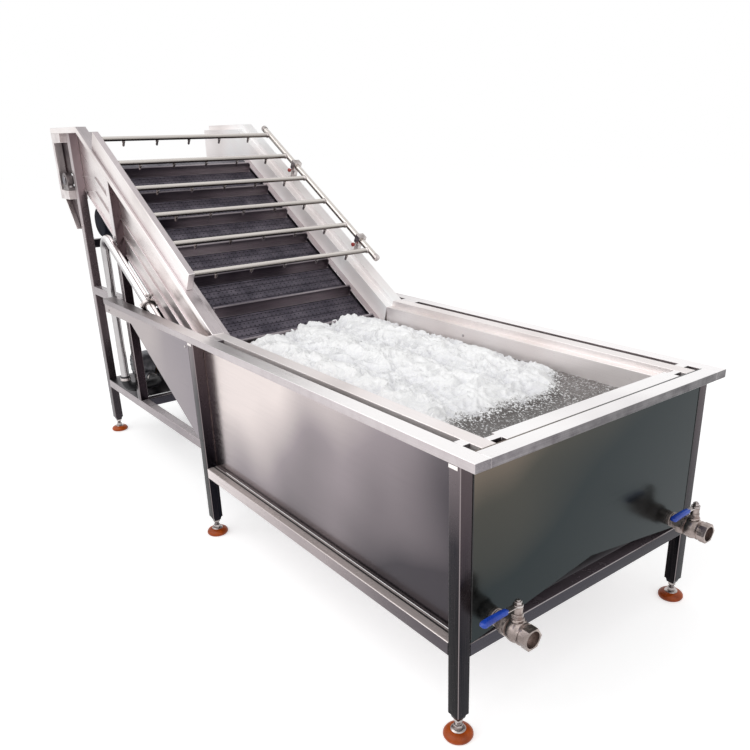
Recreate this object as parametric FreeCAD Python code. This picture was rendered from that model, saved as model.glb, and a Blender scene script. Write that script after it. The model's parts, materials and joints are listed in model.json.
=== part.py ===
import FreeCAD, Part
import math
import os

from FreeCAD import Vector

# Bubble vegetable washing machine in stainless steel: a double-walled water tank on square-tube
# legs, an inclined flight belt that lifts the produce out at the rear, and a rack of spray pipes
# above the belt. Millimetres. X runs along the machine with the drain valves at +X, the near side
# is -Y and Z is up. Stations along X are measured back from the outer face of the drain end wall.

# Frame of square tube
tube = 40.0
tube_radius = 4.0
sheet = 3.0
overall_width = 1000.0
front_leg_face = 0.0
mid_leg_face = -1388.0
head_overhang = 167.0
elevator_inset = 101.0
lower_rail_bottom = 248.0
post_spacing = 440.0
upper_rail_top = 774.0
motor_rail_drop = 510.0

# Rim bands round the tank
rim_height = 800.0
rim_lip = 25.0
rim_band = 49.0
rim_overhang = 4.0
rim_past_post = 21.0
slot_width = 24.0
slot_rear_end = -1272.0
flange_width = 45.0
inner_end_band = 55.0
corner_opening = 42.0
corner_bridge = 31.0
end_tab = 21.0
inner_end_gap = 9.0
tab_setback = 11.0
joint_gap = 1.5

# Tank
floor_rise = 67.0
inner_wall_drop = 330.0
trough_gap = 25.0
trough_side_rise = 60.0
trough_end_gap = 170.0
cover_bottom = 397.0
cover_fold = 18.0

# Levelling feet
foot_pad_diameter = 80.0
foot_pad_height = 24.0
foot_stem_diameter = 16.0
leg_bottom = 74.0
leg_plug_height = 16.0
leg_plug_end = 24.0

# Elevator: its side flange leaves the tank's inner band at the kink and levels out at the head
incline_deg = 31.0
kink_x = -1360.0
head_height = 1510.0
head_length = 391.4
web_depth = 353.0
head_upright = 25.0
head_member = 40.0
head_rail_drop = 280.0
gusset_drop = 460.0
gusset_strip = 14.0
gusset_fold = 5.0

# Belt loop
belt_depth = 108.0
belt_thickness = 8.0
wheel_radius = 65.0
belt_side_gap = 10.0
guide_depth = 95.0
guide_width = 28.0
guide_thickness = 5.0
guide_lead = 40.0
flight_side_gap = 8.0
flight_height = 36.0
flight_thickness = 4.0
flight_pitch = 190.0
flight_margin = 40.0
head_shaft_inset = 85.0
head_shaft_rise = 46.0
tail_distance = 215.0
shaft_diameter = 40.0
seat_gap = 0.3

# Drive
bearing_width = 84.0
bearing_foot = 14.0
bearing_hub_radius = 36.0
bearing_saddle = 60.0
bore_play = 0.05
shaft_opening_radius = 30.0
drive_offset = 15.0
chain_width = 16.0
head_sprocket_radius = 58.0
motor_sprocket_radius = 45.0
chain_thickness = 12.0
motor_inset = 90.0
motor_radius = 66.0
motor_rise = 22.0
motor_wall_gap = 14.0
motor_foot = 12.0
gear_half_length = 62.0
gear_start = -20.0
gear_end = 110.0
gear_rise = 56.0
output_shaft_radius = 14.0
wiring_box_half = 38.0
wiring_box_length = 100.0
wiring_box_rise = 34.0

# Spray rack
spray_pipe_diameter = 20.0
spray_pipe_count = 6
spray_first = 261.0
spray_pitch = 182.0
spray_height = 63.0
spray_end_inset = 9.0
manifold_diameter = 26.0
manifold_inset = 17.0
manifold_overrun = 60.0
bracket_width = 18.0
bracket_length = 24.0
bracket_wall = 6.0
bracket_ear = 10.0
nozzle_diameter = 9.0
nozzle_length = 24.0
nozzle_count = 5
carrier_width = 25.0
carrier_height = 75.0

# Drain valves
valve_inset = 118.0
valve_height = 336.0
valve_stem_x = 78.0
valve_mouth_x = 130.0
valve_case_radius = 32.0
valve_hex_flats = 53.0
valve_hex_length = 22.0
valve_bore_radius = 22.4
valve_bore_depth = 22.0
nipple_radius = 22.0
valve_hex_setback = 46.0
valve_barrel_radius = 27.0
valve_barrel_start = 30.0
valve_barrel_short = 10.0
valve_neck_radius = 12.0
lever_reach = 122.0
lever_width = 17.0
lever_thickness = 5.0
lever_height = 408.0
lever_hub_radius = 13.0
lever_nut_radius = 8.0
lever_nut_height = 9.0

# Air supply
air_pipe_diameter = 38.0
air_bend_radius = 48.0
air_pipe_inset = 32.0
air_pipe_depth = 298.4
air_inlet_setback = 181.0
riser_gap = 81.0
riser_rise = 112.0
clamp_distance = 520.0
clamp_diameter = 58.0
clamp_width = 18.0
hose_diameter = 44.0
blower_setback = 156.0
blower_offset = 35.0
blower_axis_rise = 80.0
housing_radius = 76.0
housing_width = 70.0
blower_motor_radius = 52.0
blower_motor_length = 190.0
blower_foot_half = 70.0
blower_foot_front = 55.0
blower_foot_back = 150.0
blower_foot_height = 10.0
blower_neck_half = 32.0
outlet_wall = 3.0
outlet_rise = 46.0
outlet_reach = 105.0
outlet_offset = 158.0

half_width = overall_width / 2
wall_plane = half_width - tube
slot_outer = half_width + rim_overhang - rim_band
flange_outer = slot_outer - slot_width
flange_inner = flange_outer - flange_width
elevator_half = half_width - elevator_inset
web_plane = elevator_half - tube
belt_half = web_plane - sheet - belt_side_gap
lower_rail_top = lower_rail_bottom + tube
rim_bottom = rim_height - rim_lip
incline = math.radians(incline_deg)
trough_depth = web_depth + trough_gap
up_slope = Vector(-math.cos(incline), 0, math.sin(incline))
into_slope = Vector(-math.sin(incline), 0, -math.cos(incline))
head_rear_x = kink_x - (head_height - rim_height) / math.tan(incline) - head_length
rear_leg_face = head_rear_x + head_overhang
post_face = rear_leg_face + post_spacing
rim_rear_end = post_face + rim_past_post
head_rail_top = head_height - head_rail_drop
gusset_bottom = head_height - gusset_drop
head_shaft_x = head_rear_x + head_shaft_inset
head_shaft_z = head_rail_top + head_shaft_rise
trough_end_x = rear_leg_face + trough_end_gap
motor_rail_top = head_height - motor_rail_drop
motor_x = rear_leg_face + motor_inset
motor_z = motor_rail_top + motor_radius + motor_rise
drive_plane = flange_outer + drive_offset
spray_near_end = flange_inner + spray_end_inset
manifold_plane = flange_outer - manifold_inset
valve_axis_y = half_width - valve_inset
air_pipe_plane = air_pipe_inset - wall_plane
riser_x = post_face - riser_gap
riser_bottom = lower_rail_top + riser_rise
outlet_plane = air_pipe_plane + outlet_offset
blower_plane = outlet_plane + blower_offset
blower_x = rear_leg_face + blower_setback
length_centre = (head_rear_x + valve_mouth_x) / 2


def box(x0, x1, y0, y1, z0, z1):
    """A plain block between two corners."""
    return Part.makeBox(x1 - x0, y1 - y0, z1 - z0, Vector(x0, y0, z0))


def far_side(shape):
    """The mirror image of a near-side piece."""
    return shape.mirror(Vector(0, 0, 0), Vector(0, 1, 0))


def both_sides(shape):
    """A near-side piece and its mirror image, as two separate solids."""
    return Part.makeCompound([shape, far_side(shape)])


def join(shapes):
    """One welded solid."""
    return shapes[0].multiFuse(shapes[1:]).removeSplitter()


def polygon(points):
    return Part.Face(Part.makePolygon(points + [points[0]]))


def plate_xz(outline, y0, y1):
    """A plate whose outline lies in the XZ plane, between two Y planes."""
    corners = [Vector(x, y0, z) for x, z in outline]
    return polygon(corners).extrude(Vector(0, y1 - y0, 0))


def plate_yz(outline, x0, x1):
    """A plate whose outline lies in the YZ plane, between two X planes."""
    corners = [Vector(x0, y, z) for y, z in outline]
    return polygon(corners).extrude(Vector(x1 - x0, 0, 0))


def on_slope(along, depth):
    """Side-view point at a distance up the incline and a depth square below the flange's top."""
    point = Vector(kink_x, 0, rim_height) + up_slope * along + into_slope * depth
    return point.x, point.z


def slope_height(x, depth):
    """Height, at a station along X, of the line that runs up the incline at a depth."""
    return rim_height + (kink_x - x) * math.tan(incline) - depth / math.cos(incline)


def slope_station(z, depth):
    """Station along X where the line at a depth reaches a height."""
    return kink_x - (z + depth / math.cos(incline) - rim_height) / math.tan(incline)


def kink_point(depth):
    """Mitre at the tank end of the incline, at a depth below the flange's top."""
    return kink_x - depth * math.tan(incline / 2), rim_height - depth


def head_point(depth):
    """Mitre where the incline turns level at the head."""
    return slope_station(head_height - depth, depth), head_height - depth


def elevator_band(top, bottom, y0, y1):
    """Strip of the elevator's side between two depths, from the kink to the rear end of the head."""
    outline = [
        kink_point(top),
        head_point(top),
        (head_rear_x, head_height - top),
        (head_rear_x, head_height - bottom),
        head_point(bottom),
        kink_point(bottom),
    ]
    return plate_xz(outline, y0, y1)


def tank_band(top, bottom, y0, y1):
    """Strip along the tank between two depths, from the drain end to the kink."""
    front = -sheet - joint_gap
    outline = [
        (front, rim_height - top),
        kink_point(top),
        kink_point(bottom),
        (front, rim_height - bottom),
    ]
    return plate_xz(outline, y0, y1)


def square_tube(x0, x1, y0, y1, z0, z1):
    """A length of square tube with rounded long edges."""
    block = box(x0, x1, y0, y1, z0, z1)
    spans = (x1 - x0, y1 - y0, z1 - z0)
    long_axis = spans.index(max(spans))
    long_edges = []
    for edge in block.Edges:
        run = edge.tangentAt(edge.FirstParameter)
        if abs((run.x, run.y, run.z)[long_axis]) > 0.99:
            long_edges.append(edge)
    return block.makeFillet(tube_radius, long_edges)


def leg(face_x, outer_y, top):
    """Square-tube leg closed by a tapered plug that carries the threaded stem of its foot."""
    post = square_tube(face_x - tube, face_x, outer_y, outer_y + tube, leg_bottom, top)
    centre_x = face_x - tube / 2
    centre_y = outer_y + tube / 2

    def square(side, z):
        half = side / 2
        return Part.makePolygon([
            Vector(centre_x - half, centre_y - half, z),
            Vector(centre_x + half, centre_y - half, z),
            Vector(centre_x + half, centre_y + half, z),
            Vector(centre_x - half, centre_y + half, z),
            Vector(centre_x - half, centre_y - half, z),
        ])

    plug_bottom = leg_bottom - leg_plug_height
    plug_top = square(tube - 2 * tube_radius, leg_bottom)
    plug = Part.makeLoft([square(leg_plug_end, plug_bottom), plug_top], True)
    stem_height = plug_bottom - foot_pad_height
    stem_start = Vector(centre_x, centre_y, foot_pad_height)
    stem = Part.makeCylinder(foot_stem_diameter / 2, stem_height, stem_start)
    return join([post, plug, stem])


def foot_pad(face_x, outer_y):
    """Domed pad under a leg, turned about the stem."""
    rim = foot_pad_diameter / 2
    edge = foot_pad_height * 0.35
    boss = foot_stem_diameter / 2 + 5
    base = rim - 4
    dome_mid = Vector((rim + boss) / 2 + 3, 0, foot_pad_height * 0.82)
    lines = [
        Part.makeLine(Vector(0, 0, 0), Vector(base, 0, 0)),
        Part.makeLine(Vector(base, 0, 0), Vector(rim, 0, edge)),
        Part.Arc(Vector(rim, 0, edge), dome_mid, Vector(boss, 0, foot_pad_height)).toShape(),
        Part.makeLine(Vector(boss, 0, foot_pad_height), Vector(0, 0, foot_pad_height)),
        Part.makeLine(Vector(0, 0, foot_pad_height), Vector(0, 0, 0)),
    ]
    pad = Part.Face(Part.Wire(lines)).revolve(Vector(0, 0, 0), Vector(0, 0, 1), 360)
    pad.translate(Vector(face_x - tube / 2, outer_y + tube / 2, 0))
    return pad


def floor_height(y):
    """Height of the tank floor's underside, which falls from the middle to both sides."""
    return lower_rail_top + floor_rise * (1 - abs(y) / wall_plane)


def tank_back():
    """Station of the upright plate that closes the tank behind the middle legs."""
    return mid_leg_face - tube


def tank_wall():
    """Near outer wall, with its rear edge cut parallel to the incline."""
    back = tank_back()
    outline = [
        (-sheet, lower_rail_top),
        (back, lower_rail_top),
        (back, slope_height(back, trough_depth)),
        (slope_station(rim_bottom, trough_depth), rim_bottom),
        (-sheet, rim_bottom),
    ]
    return plate_xz(outline, -wall_plane, -wall_plane + sheet)


def tank_end_wall():
    """Drain end wall between the front legs, its lower edge an inverted V."""
    outline = [
        (-wall_plane, lower_rail_top),
        (0, floor_height(0)),
        (wall_plane, lower_rail_top),
        (wall_plane, rim_bottom),
        (slot_outer, rim_bottom),
        (slot_outer, rim_height),
        (-slot_outer, rim_height),
        (-slot_outer, rim_bottom),
        (-wall_plane, rim_bottom),
    ]
    return plate_yz(outline, -sheet, 0)


def tank_floor():
    """Folded floor with a gutter along each side."""
    edge = wall_plane - sheet
    outline = [
        (-edge, floor_height(edge)),
        (0, floor_height(0)),
        (edge, floor_height(edge)),
        (edge, floor_height(edge) + sheet),
        (0, floor_height(0) + sheet),
        (-edge, floor_height(edge) + sheet),
    ]
    return plate_yz(outline, tank_back() + sheet, -sheet)


def tank_rear_slope():
    """Rear of the tank: an upright plate and the sheet that rises behind it to the rim."""
    edge = wall_plane - sheet
    back = tank_back()
    upright = [
        (-edge, floor_height(edge)),
        (0, floor_height(0)),
        (edge, floor_height(edge)),
        (edge, slope_height(back + sheet, trough_depth)),
        (-edge, slope_height(back + sheet, trough_depth)),
    ]
    slope = [
        (back + sheet, slope_height(back + sheet, trough_depth)),
        (back + sheet, slope_height(back + sheet, trough_depth + sheet)),
        (slope_station(rim_bottom, trough_depth + sheet), rim_bottom),
        (slope_station(rim_bottom, trough_depth), rim_bottom),
    ]
    return join([plate_yz(upright, back, back + sheet), plate_xz(slope, -edge, edge)])


def elevator_trough():
    """Sheet under the belt, folded up at both sides, that drains the spray water to the tank."""
    half = web_plane - sheet - seat_gap
    start = slope_station(rim_bottom, trough_depth)
    base = [
        (start, rim_bottom),
        (trough_end_x, slope_height(trough_end_x, trough_depth)),
        (trough_end_x, slope_height(trough_end_x, trough_depth + sheet)),
        (slope_station(rim_bottom, trough_depth + sheet), rim_bottom),
    ]
    side = [
        (start, rim_bottom),
        (trough_end_x, slope_height(trough_end_x, trough_depth)),
        (trough_end_x, slope_height(trough_end_x, trough_depth - trough_side_rise)),
        (start, slope_height(start, trough_depth - trough_side_rise)),
    ]
    lip = plate_xz(side, -half, -half + 2)
    return join([plate_xz(base, -half, half), lip, far_side(lip)])


def side_cover():
    """Panel behind the middle leg: a strip under the rim and a triangle with a folded lower edge."""
    front = mid_leg_face - tube
    strip = upper_rail_top - tube + 5
    rise_end = front - (strip - cover_bottom) / math.tan(incline)
    thick = sheet / math.cos(incline)
    outline = [
        (front, rim_bottom),
        (front, cover_bottom),
        (rise_end, strip),
        (rim_rear_end, strip),
        (rim_rear_end, rim_bottom),
    ]
    fold = [
        (front, cover_bottom),
        (rise_end, strip),
        (rise_end, strip + thick),
        (front, cover_bottom + thick),
    ]
    panel = plate_xz(outline, -half_width, -half_width + sheet)
    return join([panel, plate_xz(fold, -half_width, -half_width + cover_fold)])


def rim_side():
    """Outer rim band of the near side."""
    return box(rim_rear_end, rim_band, -half_width - rim_overhang, -slot_outer, rim_bottom, rim_height)


def slot_bridges():
    """Short plates across both slots, beside the corner openings and at the rear ends."""
    plates = []
    for x0, x1 in ((-corner_opening - corner_bridge, -corner_opening), (kink_x, slot_rear_end)):
        plate = box(x0, x1, -slot_outer, -flange_outer, rim_bottom, rim_height)
        plates += [plate, far_side(plate)]
    return Part.makeCompound(plates)


def tank_inner_wall():
    """Near inner wall of the tank under its hollow band: the ledge and the upright sheet."""
    front = -sheet - joint_gap
    band = tank_band(0, rim_lip, -flange_outer, -flange_inner)
    ledge = tank_band(rim_lip - sheet, rim_lip, -flange_inner, -web_plane + sheet)
    wall_bottom = rim_bottom - inner_wall_drop
    outline = [
        (front - inner_end_band, rim_bottom),
        kink_point(rim_lip),
        (kink_x - 8, wall_bottom),
        (front - inner_end_band, wall_bottom),
    ]
    wall = plate_xz(outline, -web_plane, -web_plane + sheet)
    return join([band, ledge, wall])


def tank_inner_end():
    """Inner wall across the drain end, with a tab to the inner band of each side."""
    half = web_plane - inner_end_gap
    front = -sheet - joint_gap
    band = box(-inner_end_band, front, -half, half, rim_bottom, rim_height)
    wall_bottom = rim_bottom - inner_wall_drop
    wall = box(-inner_end_band, -inner_end_band + sheet, -half, half, wall_bottom, rim_bottom)
    tab_x = -inner_end_band + tab_setback
    tab = box(tab_x, tab_x + end_tab, -flange_inner, -half, rim_bottom + sheet, rim_height)
    return join([band, wall, tab, far_side(tab)])


def elevator_side():
    """Near side of the elevator: hollow top flange, ledge and the deep web that carries the belt."""
    flange = elevator_band(0, rim_lip, -flange_outer, -flange_inner)
    ledge = elevator_band(rim_lip - sheet, rim_lip, -flange_inner, -web_plane + sheet)
    web = [
        kink_point(rim_lip),
        head_point(rim_lip),
        (head_rear_x, head_height - rim_lip),
        (head_rear_x, head_rail_top - tube),
        (rear_leg_face, head_rail_top - tube),
        (rear_leg_face, slope_height(rear_leg_face, web_depth)),
        on_slope(-web_depth * math.tan(incline / 2), web_depth),
    ]
    side = plate_xz(web, -web_plane, -web_plane + sheet)
    centre = Vector(head_shaft_x, -web_plane - 10, head_shaft_z)
    opening = Part.makeCylinder(shaft_opening_radius, tube, centre, Vector(0, 1, 0))
    return join([flange, ledge, side.cut(opening)])


def post_top(face_x):
    """Height at which a post meets the underside of the flange, cut level at its lower corner."""
    return slope_height(face_x, rim_lip)


def sloped_post(face_x, outer_y, bottom):
    """Square-tube post with its top cut to the incline."""
    post = square_tube(face_x - tube, face_x, outer_y, outer_y + tube, bottom, post_top(face_x - tube) + 5)
    high = slope_height(face_x - tube - 5, rim_lip)
    cut = [
        (face_x + 5, slope_height(face_x + 5, rim_lip)),
        (face_x - tube - 5, high),
        (face_x - tube - 5, high + 60),
        (face_x + 5, high + 60),
    ]
    return post.cut(plate_xz(cut, outer_y - 5, outer_y + tube + 5))


def head_frame():
    """Frame under the near end of the head: upright, members, closing panel and a folded gusset."""
    y0 = -flange_outer
    y1 = y0 + head_member
    leg_back = rear_leg_face - tube
    top = head_height - rim_lip
    rail_bottom = head_rail_top - head_member
    upright = box(head_rear_x, head_rear_x + head_upright, y0, y1, rail_bottom, top)
    upper = box(head_rear_x, leg_back, y0, y1, top - head_member, top)
    rail = box(head_rear_x, leg_back, y0, y1, rail_bottom, head_rail_top)
    panel = box(head_rear_x, leg_back, y1, y1 + sheet, rail_bottom, top)
    centre = Vector(head_shaft_x, y1 - 5, head_shaft_z)
    opening = Part.makeCylinder(shaft_opening_radius, sheet + 10, centre, Vector(0, 1, 0))
    corner = head_rear_x + 8
    gusset = [
        (corner, rail_bottom),
        (leg_back, rail_bottom),
        (leg_back, gusset_bottom),
        (leg_back - gusset_strip, gusset_bottom),
    ]
    fold = [
        (corner, rail_bottom),
        (corner + gusset_fold, rail_bottom),
        (leg_back - gusset_strip + gusset_fold, gusset_bottom),
        (leg_back - gusset_strip, gusset_bottom),
    ]
    return join([
        upright,
        upper,
        rail,
        panel.cut(opening),
        plate_xz(gusset, y1 - sheet, y1),
        plate_xz(fold, y0 + gusset_strip, y1),
    ])


def head_bearing():
    """Pillow-block bearing that stands on the head rail and holds the shaft's near end."""
    outer = -flange_outer + 4
    inner = -elevator_half + 2
    half = bearing_width / 2
    top = head_rail_top + bearing_foot
    across = Vector(0, 1, 0)
    foot = box(head_shaft_x - half, head_shaft_x + half, outer, inner, head_rail_top, top)
    hub_start = Vector(head_shaft_x, outer, head_shaft_z)
    hub = Part.makeCylinder(bearing_hub_radius, inner - outer, hub_start, across)
    half = bearing_saddle / 2
    saddle = box(head_shaft_x - half, head_shaft_x + half, outer, inner, head_rail_top, head_shaft_z)
    start = Vector(head_shaft_x, outer - 5, head_shaft_z)
    bore = Part.makeCylinder(shaft_diameter / 2 + bore_play, inner - outer + 10, start, across)
    return join([foot, hub, saddle]).cut(bore)


def closed_profile(segments):
    """A closed wire in the XZ plane from (start, middle or None, end) triples."""
    edges = []
    for start, middle, end in segments:
        a = Vector(start[0], 0, start[1])
        b = Vector(end[0], 0, end[1])
        if middle is None:
            edges.append(Part.makeLine(a, b))
        else:
            edges.append(Part.Arc(a, Vector(middle[0], 0, middle[1]), b).toShape())
    return Part.Wire(edges)


def belt_outline(radius):
    """Loop round both shafts at a radius: up the incline, level over the head and back."""
    axis_depth = belt_depth + wheel_radius
    carry = axis_depth - radius
    back = axis_depth + radius
    top = head_shaft_z + radius
    bottom = head_shaft_z - radius
    carry_start = on_slope(-tail_distance, carry)
    back_end = on_slope(-tail_distance, back)
    tail_end = on_slope(-tail_distance - radius, axis_depth)
    carry_turn = (slope_station(top, carry), top)
    back_turn = (slope_station(bottom, back), bottom)
    head_top = (head_shaft_x, top)
    head_end = (head_shaft_x - radius, head_shaft_z)
    head_bottom = (head_shaft_x, bottom)
    return closed_profile([
        (carry_start, None, carry_turn),
        (carry_turn, None, head_top),
        (head_top, head_end, head_bottom),
        (head_bottom, None, back_turn),
        (back_turn, None, back_end),
        (back_end, tail_end, carry_start),
    ])


def run_length(height, depth):
    """Distance up the incline at which a run of the belt turns level at a height."""
    return (kink_x - slope_station(height, depth) - depth * math.sin(incline)) / math.cos(incline)


def belt():
    """Closed belt with cross flights."""
    loop = Part.Face(belt_outline(wheel_radius)).cut(Part.Face(belt_outline(wheel_radius - belt_thickness)))
    loop.translate(Vector(0, -belt_half, 0))
    pieces = [loop.extrude(Vector(0, 2 * belt_half, 0))]
    flight_half = web_plane - sheet - guide_width - flight_side_gap
    upper = run_length(head_shaft_z + wheel_radius, belt_depth)
    back = belt_depth + 2 * wheel_radius
    lower = run_length(head_shaft_z - wheel_radius, back)
    runs = (
        (upper, belt_depth - flight_height, belt_depth + 2),
        (lower, back - 2, back + flight_height),
    )
    for end, high, low in runs:
        along = flight_margin - tail_distance
        while along < end - flight_margin / 2:
            outline = [
                on_slope(along, high),
                on_slope(along + flight_thickness, high),
                on_slope(along + flight_thickness, low),
                on_slope(along, low),
            ]
            pieces.append(plate_xz(outline, -flight_half, flight_half))
            along += flight_pitch
    return join(pieces)


def belt_guide():
    """Strip on the near web that keeps the produce off the belt's edge."""
    y0 = -web_plane + sheet
    end = run_length(head_shaft_z + wheel_radius, belt_depth)
    outline = [
        on_slope(-guide_lead, guide_depth),
        on_slope(end, guide_depth),
        on_slope(end, guide_depth + guide_thickness),
        on_slope(-guide_lead, guide_depth + guide_thickness),
    ]
    return plate_xz(outline, y0, y0 + guide_width)


def shaft_with_drum(centre, near_end, far_end):
    """Shaft with the drum that the belt runs on."""
    drum_radius = wheel_radius - belt_thickness - seat_gap
    start = Vector(centre[0], near_end, centre[1])
    shaft = Part.makeCylinder(shaft_diameter / 2, far_end - near_end, start, Vector(0, 1, 0))
    drum_start = Vector(centre[0], -belt_half, centre[1])
    drum = Part.makeCylinder(drum_radius, 2 * belt_half, drum_start, Vector(0, 1, 0))
    return join([shaft, drum])


def head_shaft():
    """Driven shaft at the head, with its sprocket outside the far bearing."""
    shaft = shaft_with_drum((head_shaft_x, head_shaft_z), -flange_outer, drive_plane + chain_width / 2)
    start = Vector(head_shaft_x, drive_plane - chain_width / 2, head_shaft_z)
    sprocket = Part.makeCylinder(head_sprocket_radius - seat_gap, chain_width, start, Vector(0, 1, 0))
    return join([shaft, sprocket])


def gearmotor():
    """Motor barrel with its wiring box, gear unit and output shaft, bolted on the motor rail."""
    across = Vector(0, 1, 0)
    barrel_start = motor_wall_gap - web_plane
    gear_front = motor_x + gear_half_length
    chain_side = drive_plane - chain_width / 2
    barrel_length = gear_start + 5 - barrel_start
    barrel = Part.makeCylinder(motor_radius, barrel_length, Vector(motor_x, barrel_start, motor_z), across)
    gear = box(motor_x - gear_half_length, gear_front, gear_start, gear_end, motor_rail_top + 2,
               motor_z + gear_rise)
    feet = box(rear_leg_face - tube, gear_front, gear_start + 10, gear_end - 10, motor_rail_top,
               motor_rail_top + motor_foot)
    shaft_length = chain_side + chain_width - gear_end + 10
    shaft_start = Vector(motor_x, gear_end - 10, motor_z)
    shaft = Part.makeCylinder(output_shaft_radius, shaft_length, shaft_start, across)
    start = Vector(motor_x, chain_side, motor_z)
    sprocket = Part.makeCylinder(motor_sprocket_radius - seat_gap, chain_width, start, across)
    wiring_start = barrel_start + motor_wall_gap
    wiring = box(motor_x - wiring_box_half, motor_x + wiring_box_half, wiring_start,
                 wiring_start + wiring_box_length, motor_z, motor_z + motor_radius + wiring_box_rise)
    return join([barrel, wiring, gear, feet, shaft, sprocket])


def loop_round(centre_a, radius_a, centre_b, radius_b):
    """Closed outline round two circles of different radius in the XZ plane."""
    span = Vector(centre_b[0] - centre_a[0], 0, centre_b[1] - centre_a[1])
    distance = span.Length
    heading = math.atan2(span.z, span.x)
    swing = math.acos((radius_a - radius_b) / distance)

    def rim(centre, radius, angle):
        return centre[0] + radius * math.cos(angle), centre[1] + radius * math.sin(angle)

    return closed_profile([
        (rim(centre_a, radius_a, heading + swing), rim(centre_a, radius_a, heading + math.pi),
         rim(centre_a, radius_a, heading - swing)),
        (rim(centre_a, radius_a, heading - swing), None, rim(centre_b, radius_b, heading - swing)),
        (rim(centre_b, radius_b, heading - swing), rim(centre_b, radius_b, heading),
         rim(centre_b, radius_b, heading + swing)),
        (rim(centre_b, radius_b, heading + swing), None, rim(centre_a, radius_a, heading + swing)),
    ])


def drive_chain():
    """Roller chain as one closed loop round the two sprockets."""
    head = (head_shaft_x, head_shaft_z)
    motor = (motor_x, motor_z)
    outer = Part.Face(loop_round(head, head_sprocket_radius + chain_thickness, motor,
                                 motor_sprocket_radius + chain_thickness))
    inner = Part.Face(loop_round(head, head_sprocket_radius, motor, motor_sprocket_radius))
    loop = outer.cut(inner)
    loop.translate(Vector(0, drive_plane - chain_width / 2, 0))
    return loop.extrude(Vector(0, chain_width, 0))


def spray_point(index):
    return on_slope(spray_first + index * spray_pitch, -spray_height)


def spray_pipe(index):
    """One cross pipe with its fan nozzles, let into the manifold."""
    x, z = spray_point(index)
    start = Vector(x, -spray_near_end, z)
    far_end = manifold_plane - manifold_diameter / 2 - seat_gap
    pieces = [Part.makeCylinder(spray_pipe_diameter / 2, far_end + spray_near_end, start, Vector(0, 1, 0))]
    for number in range(nozzle_count):
        share = number / (nozzle_count - 1) * 2 - 1
        y = share * (web_plane - 60)
        pieces.append(Part.makeCylinder(nozzle_diameter / 2, spray_pipe_diameter / 2 + nozzle_length,
                                        Vector(x, y, z), into_slope))
    return join(pieces)


def manifold():
    """Feed tube beside the far flange."""
    last = spray_first + (spray_pipe_count - 1) * spray_pitch
    low = on_slope(spray_first - manifold_overrun, -spray_height)
    high = on_slope(last + manifold_overrun, -spray_height)
    a = Vector(low[0], manifold_plane, low[1])
    b = Vector(high[0], manifold_plane, high[1])
    return Part.makeCylinder(manifold_diameter / 2, (b - a).Length, a, b - a)


def spray_carrier():
    """Upright bar on the near flange that holds the near ends of the spray pipes."""
    y0 = -spray_near_end - carrier_width
    start = spray_first - 14
    end = spray_first + (spray_pipe_count - 1) * spray_pitch + 40
    outline = [
        on_slope(start, -carrier_height),
        on_slope(end, -carrier_height),
        on_slope(end, 0),
        on_slope(start, 0),
    ]
    return plate_xz(outline, y0, y0 + carrier_width)


def manifold_bracket(along):
    """Foot, stand and split clamp that hold the manifold on the far flange."""
    radius = manifold_diameter / 2
    top = radius - spray_height
    y0 = manifold_plane - bracket_width / 2
    y1 = manifold_plane + bracket_width / 2

    def block(low, high, start, end, inner, outer):
        outline = [on_slope(start, low), on_slope(end, low), on_slope(end, high), on_slope(start, high)]
        return plate_xz(outline, inner, outer)

    end = along + bracket_length
    stand = block(top + 2, 0, along, end, y0, y1)
    clamp = block(-spray_height - radius - bracket_wall, top + bracket_wall, along - 3, end + 3,
                  y0 - bracket_ear, y1 + bracket_ear)
    centre = on_slope(along - 10, -spray_height)
    start = Vector(centre[0], manifold_plane, centre[1])
    passage = Part.makeCylinder(radius + bore_play, bracket_length + 26, start, up_slope)
    return join([stand, clamp]).cut(passage)


def pipe_along(points, bend, diameter):
    """Round pipe through points in order, with an arc of one radius at each inner point."""
    edges = []
    start = points[0]
    for index in range(1, len(points) - 1):
        corner = points[index]
        back = (points[index - 1] - corner).normalize()
        ahead = (points[index + 1] - corner).normalize()
        angle = back.getAngle(ahead)
        trim = bend / math.tan(angle / 2)
        enter = corner + back * trim
        leave = corner + ahead * trim
        middle = corner + (back + ahead).normalize() * (bend / math.sin(angle / 2) - bend)
        edges.append(Part.makeLine(start, enter))
        edges.append(Part.Arc(enter, middle, leave).toShape())
        start = leave
    edges.append(Part.makeLine(start, points[-1]))
    first = (points[1] - points[0]).normalize()
    ring = Part.Wire(Part.makeCircle(diameter / 2, points[0], first))
    return Part.Wire(edges).makePipeShell([ring], True, False)


def air_top():
    return Vector(riser_x, air_pipe_plane, slope_height(riser_x, air_pipe_depth))


def air_pipe():
    """Air line: up the riser, over the bend, down beside the elevator and into the tank wall."""
    top = air_top()
    inlet_x = kink_x - air_inlet_setback
    low = Vector(inlet_x, air_pipe_plane, slope_height(inlet_x, air_pipe_depth))
    inlet = Vector(inlet_x, -web_plane - seat_gap, low.z)
    foot = Vector(riser_x, air_pipe_plane, riser_bottom)
    return pipe_along([foot, top, low, inlet], air_bend_radius, air_pipe_diameter)


def pipe_clamp():
    """Ring clamp with its wing bolt on the inclined run of the air pipe."""
    centre = air_top() - up_slope * clamp_distance
    start = centre - up_slope * (clamp_width / 2)
    ring = Part.makeCylinder(clamp_diameter / 2, clamp_width, start, up_slope)
    bolt = Part.makeCylinder(5.0, clamp_diameter / 2 + 22, centre, into_slope * -1)
    bore_start = start - up_slope * 10
    bore = Part.makeCylinder(air_pipe_diameter / 2 + bore_play, clamp_width + 20, bore_start, up_slope)
    return join([ring, bolt]).cut(bore)


def blower_shelf():
    """Sheet shelf on the rear lower rails that carries the blower."""
    return box(rear_leg_face, post_face - tube, -elevator_half, elevator_half, lower_rail_top,
               lower_rail_top + sheet)


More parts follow.
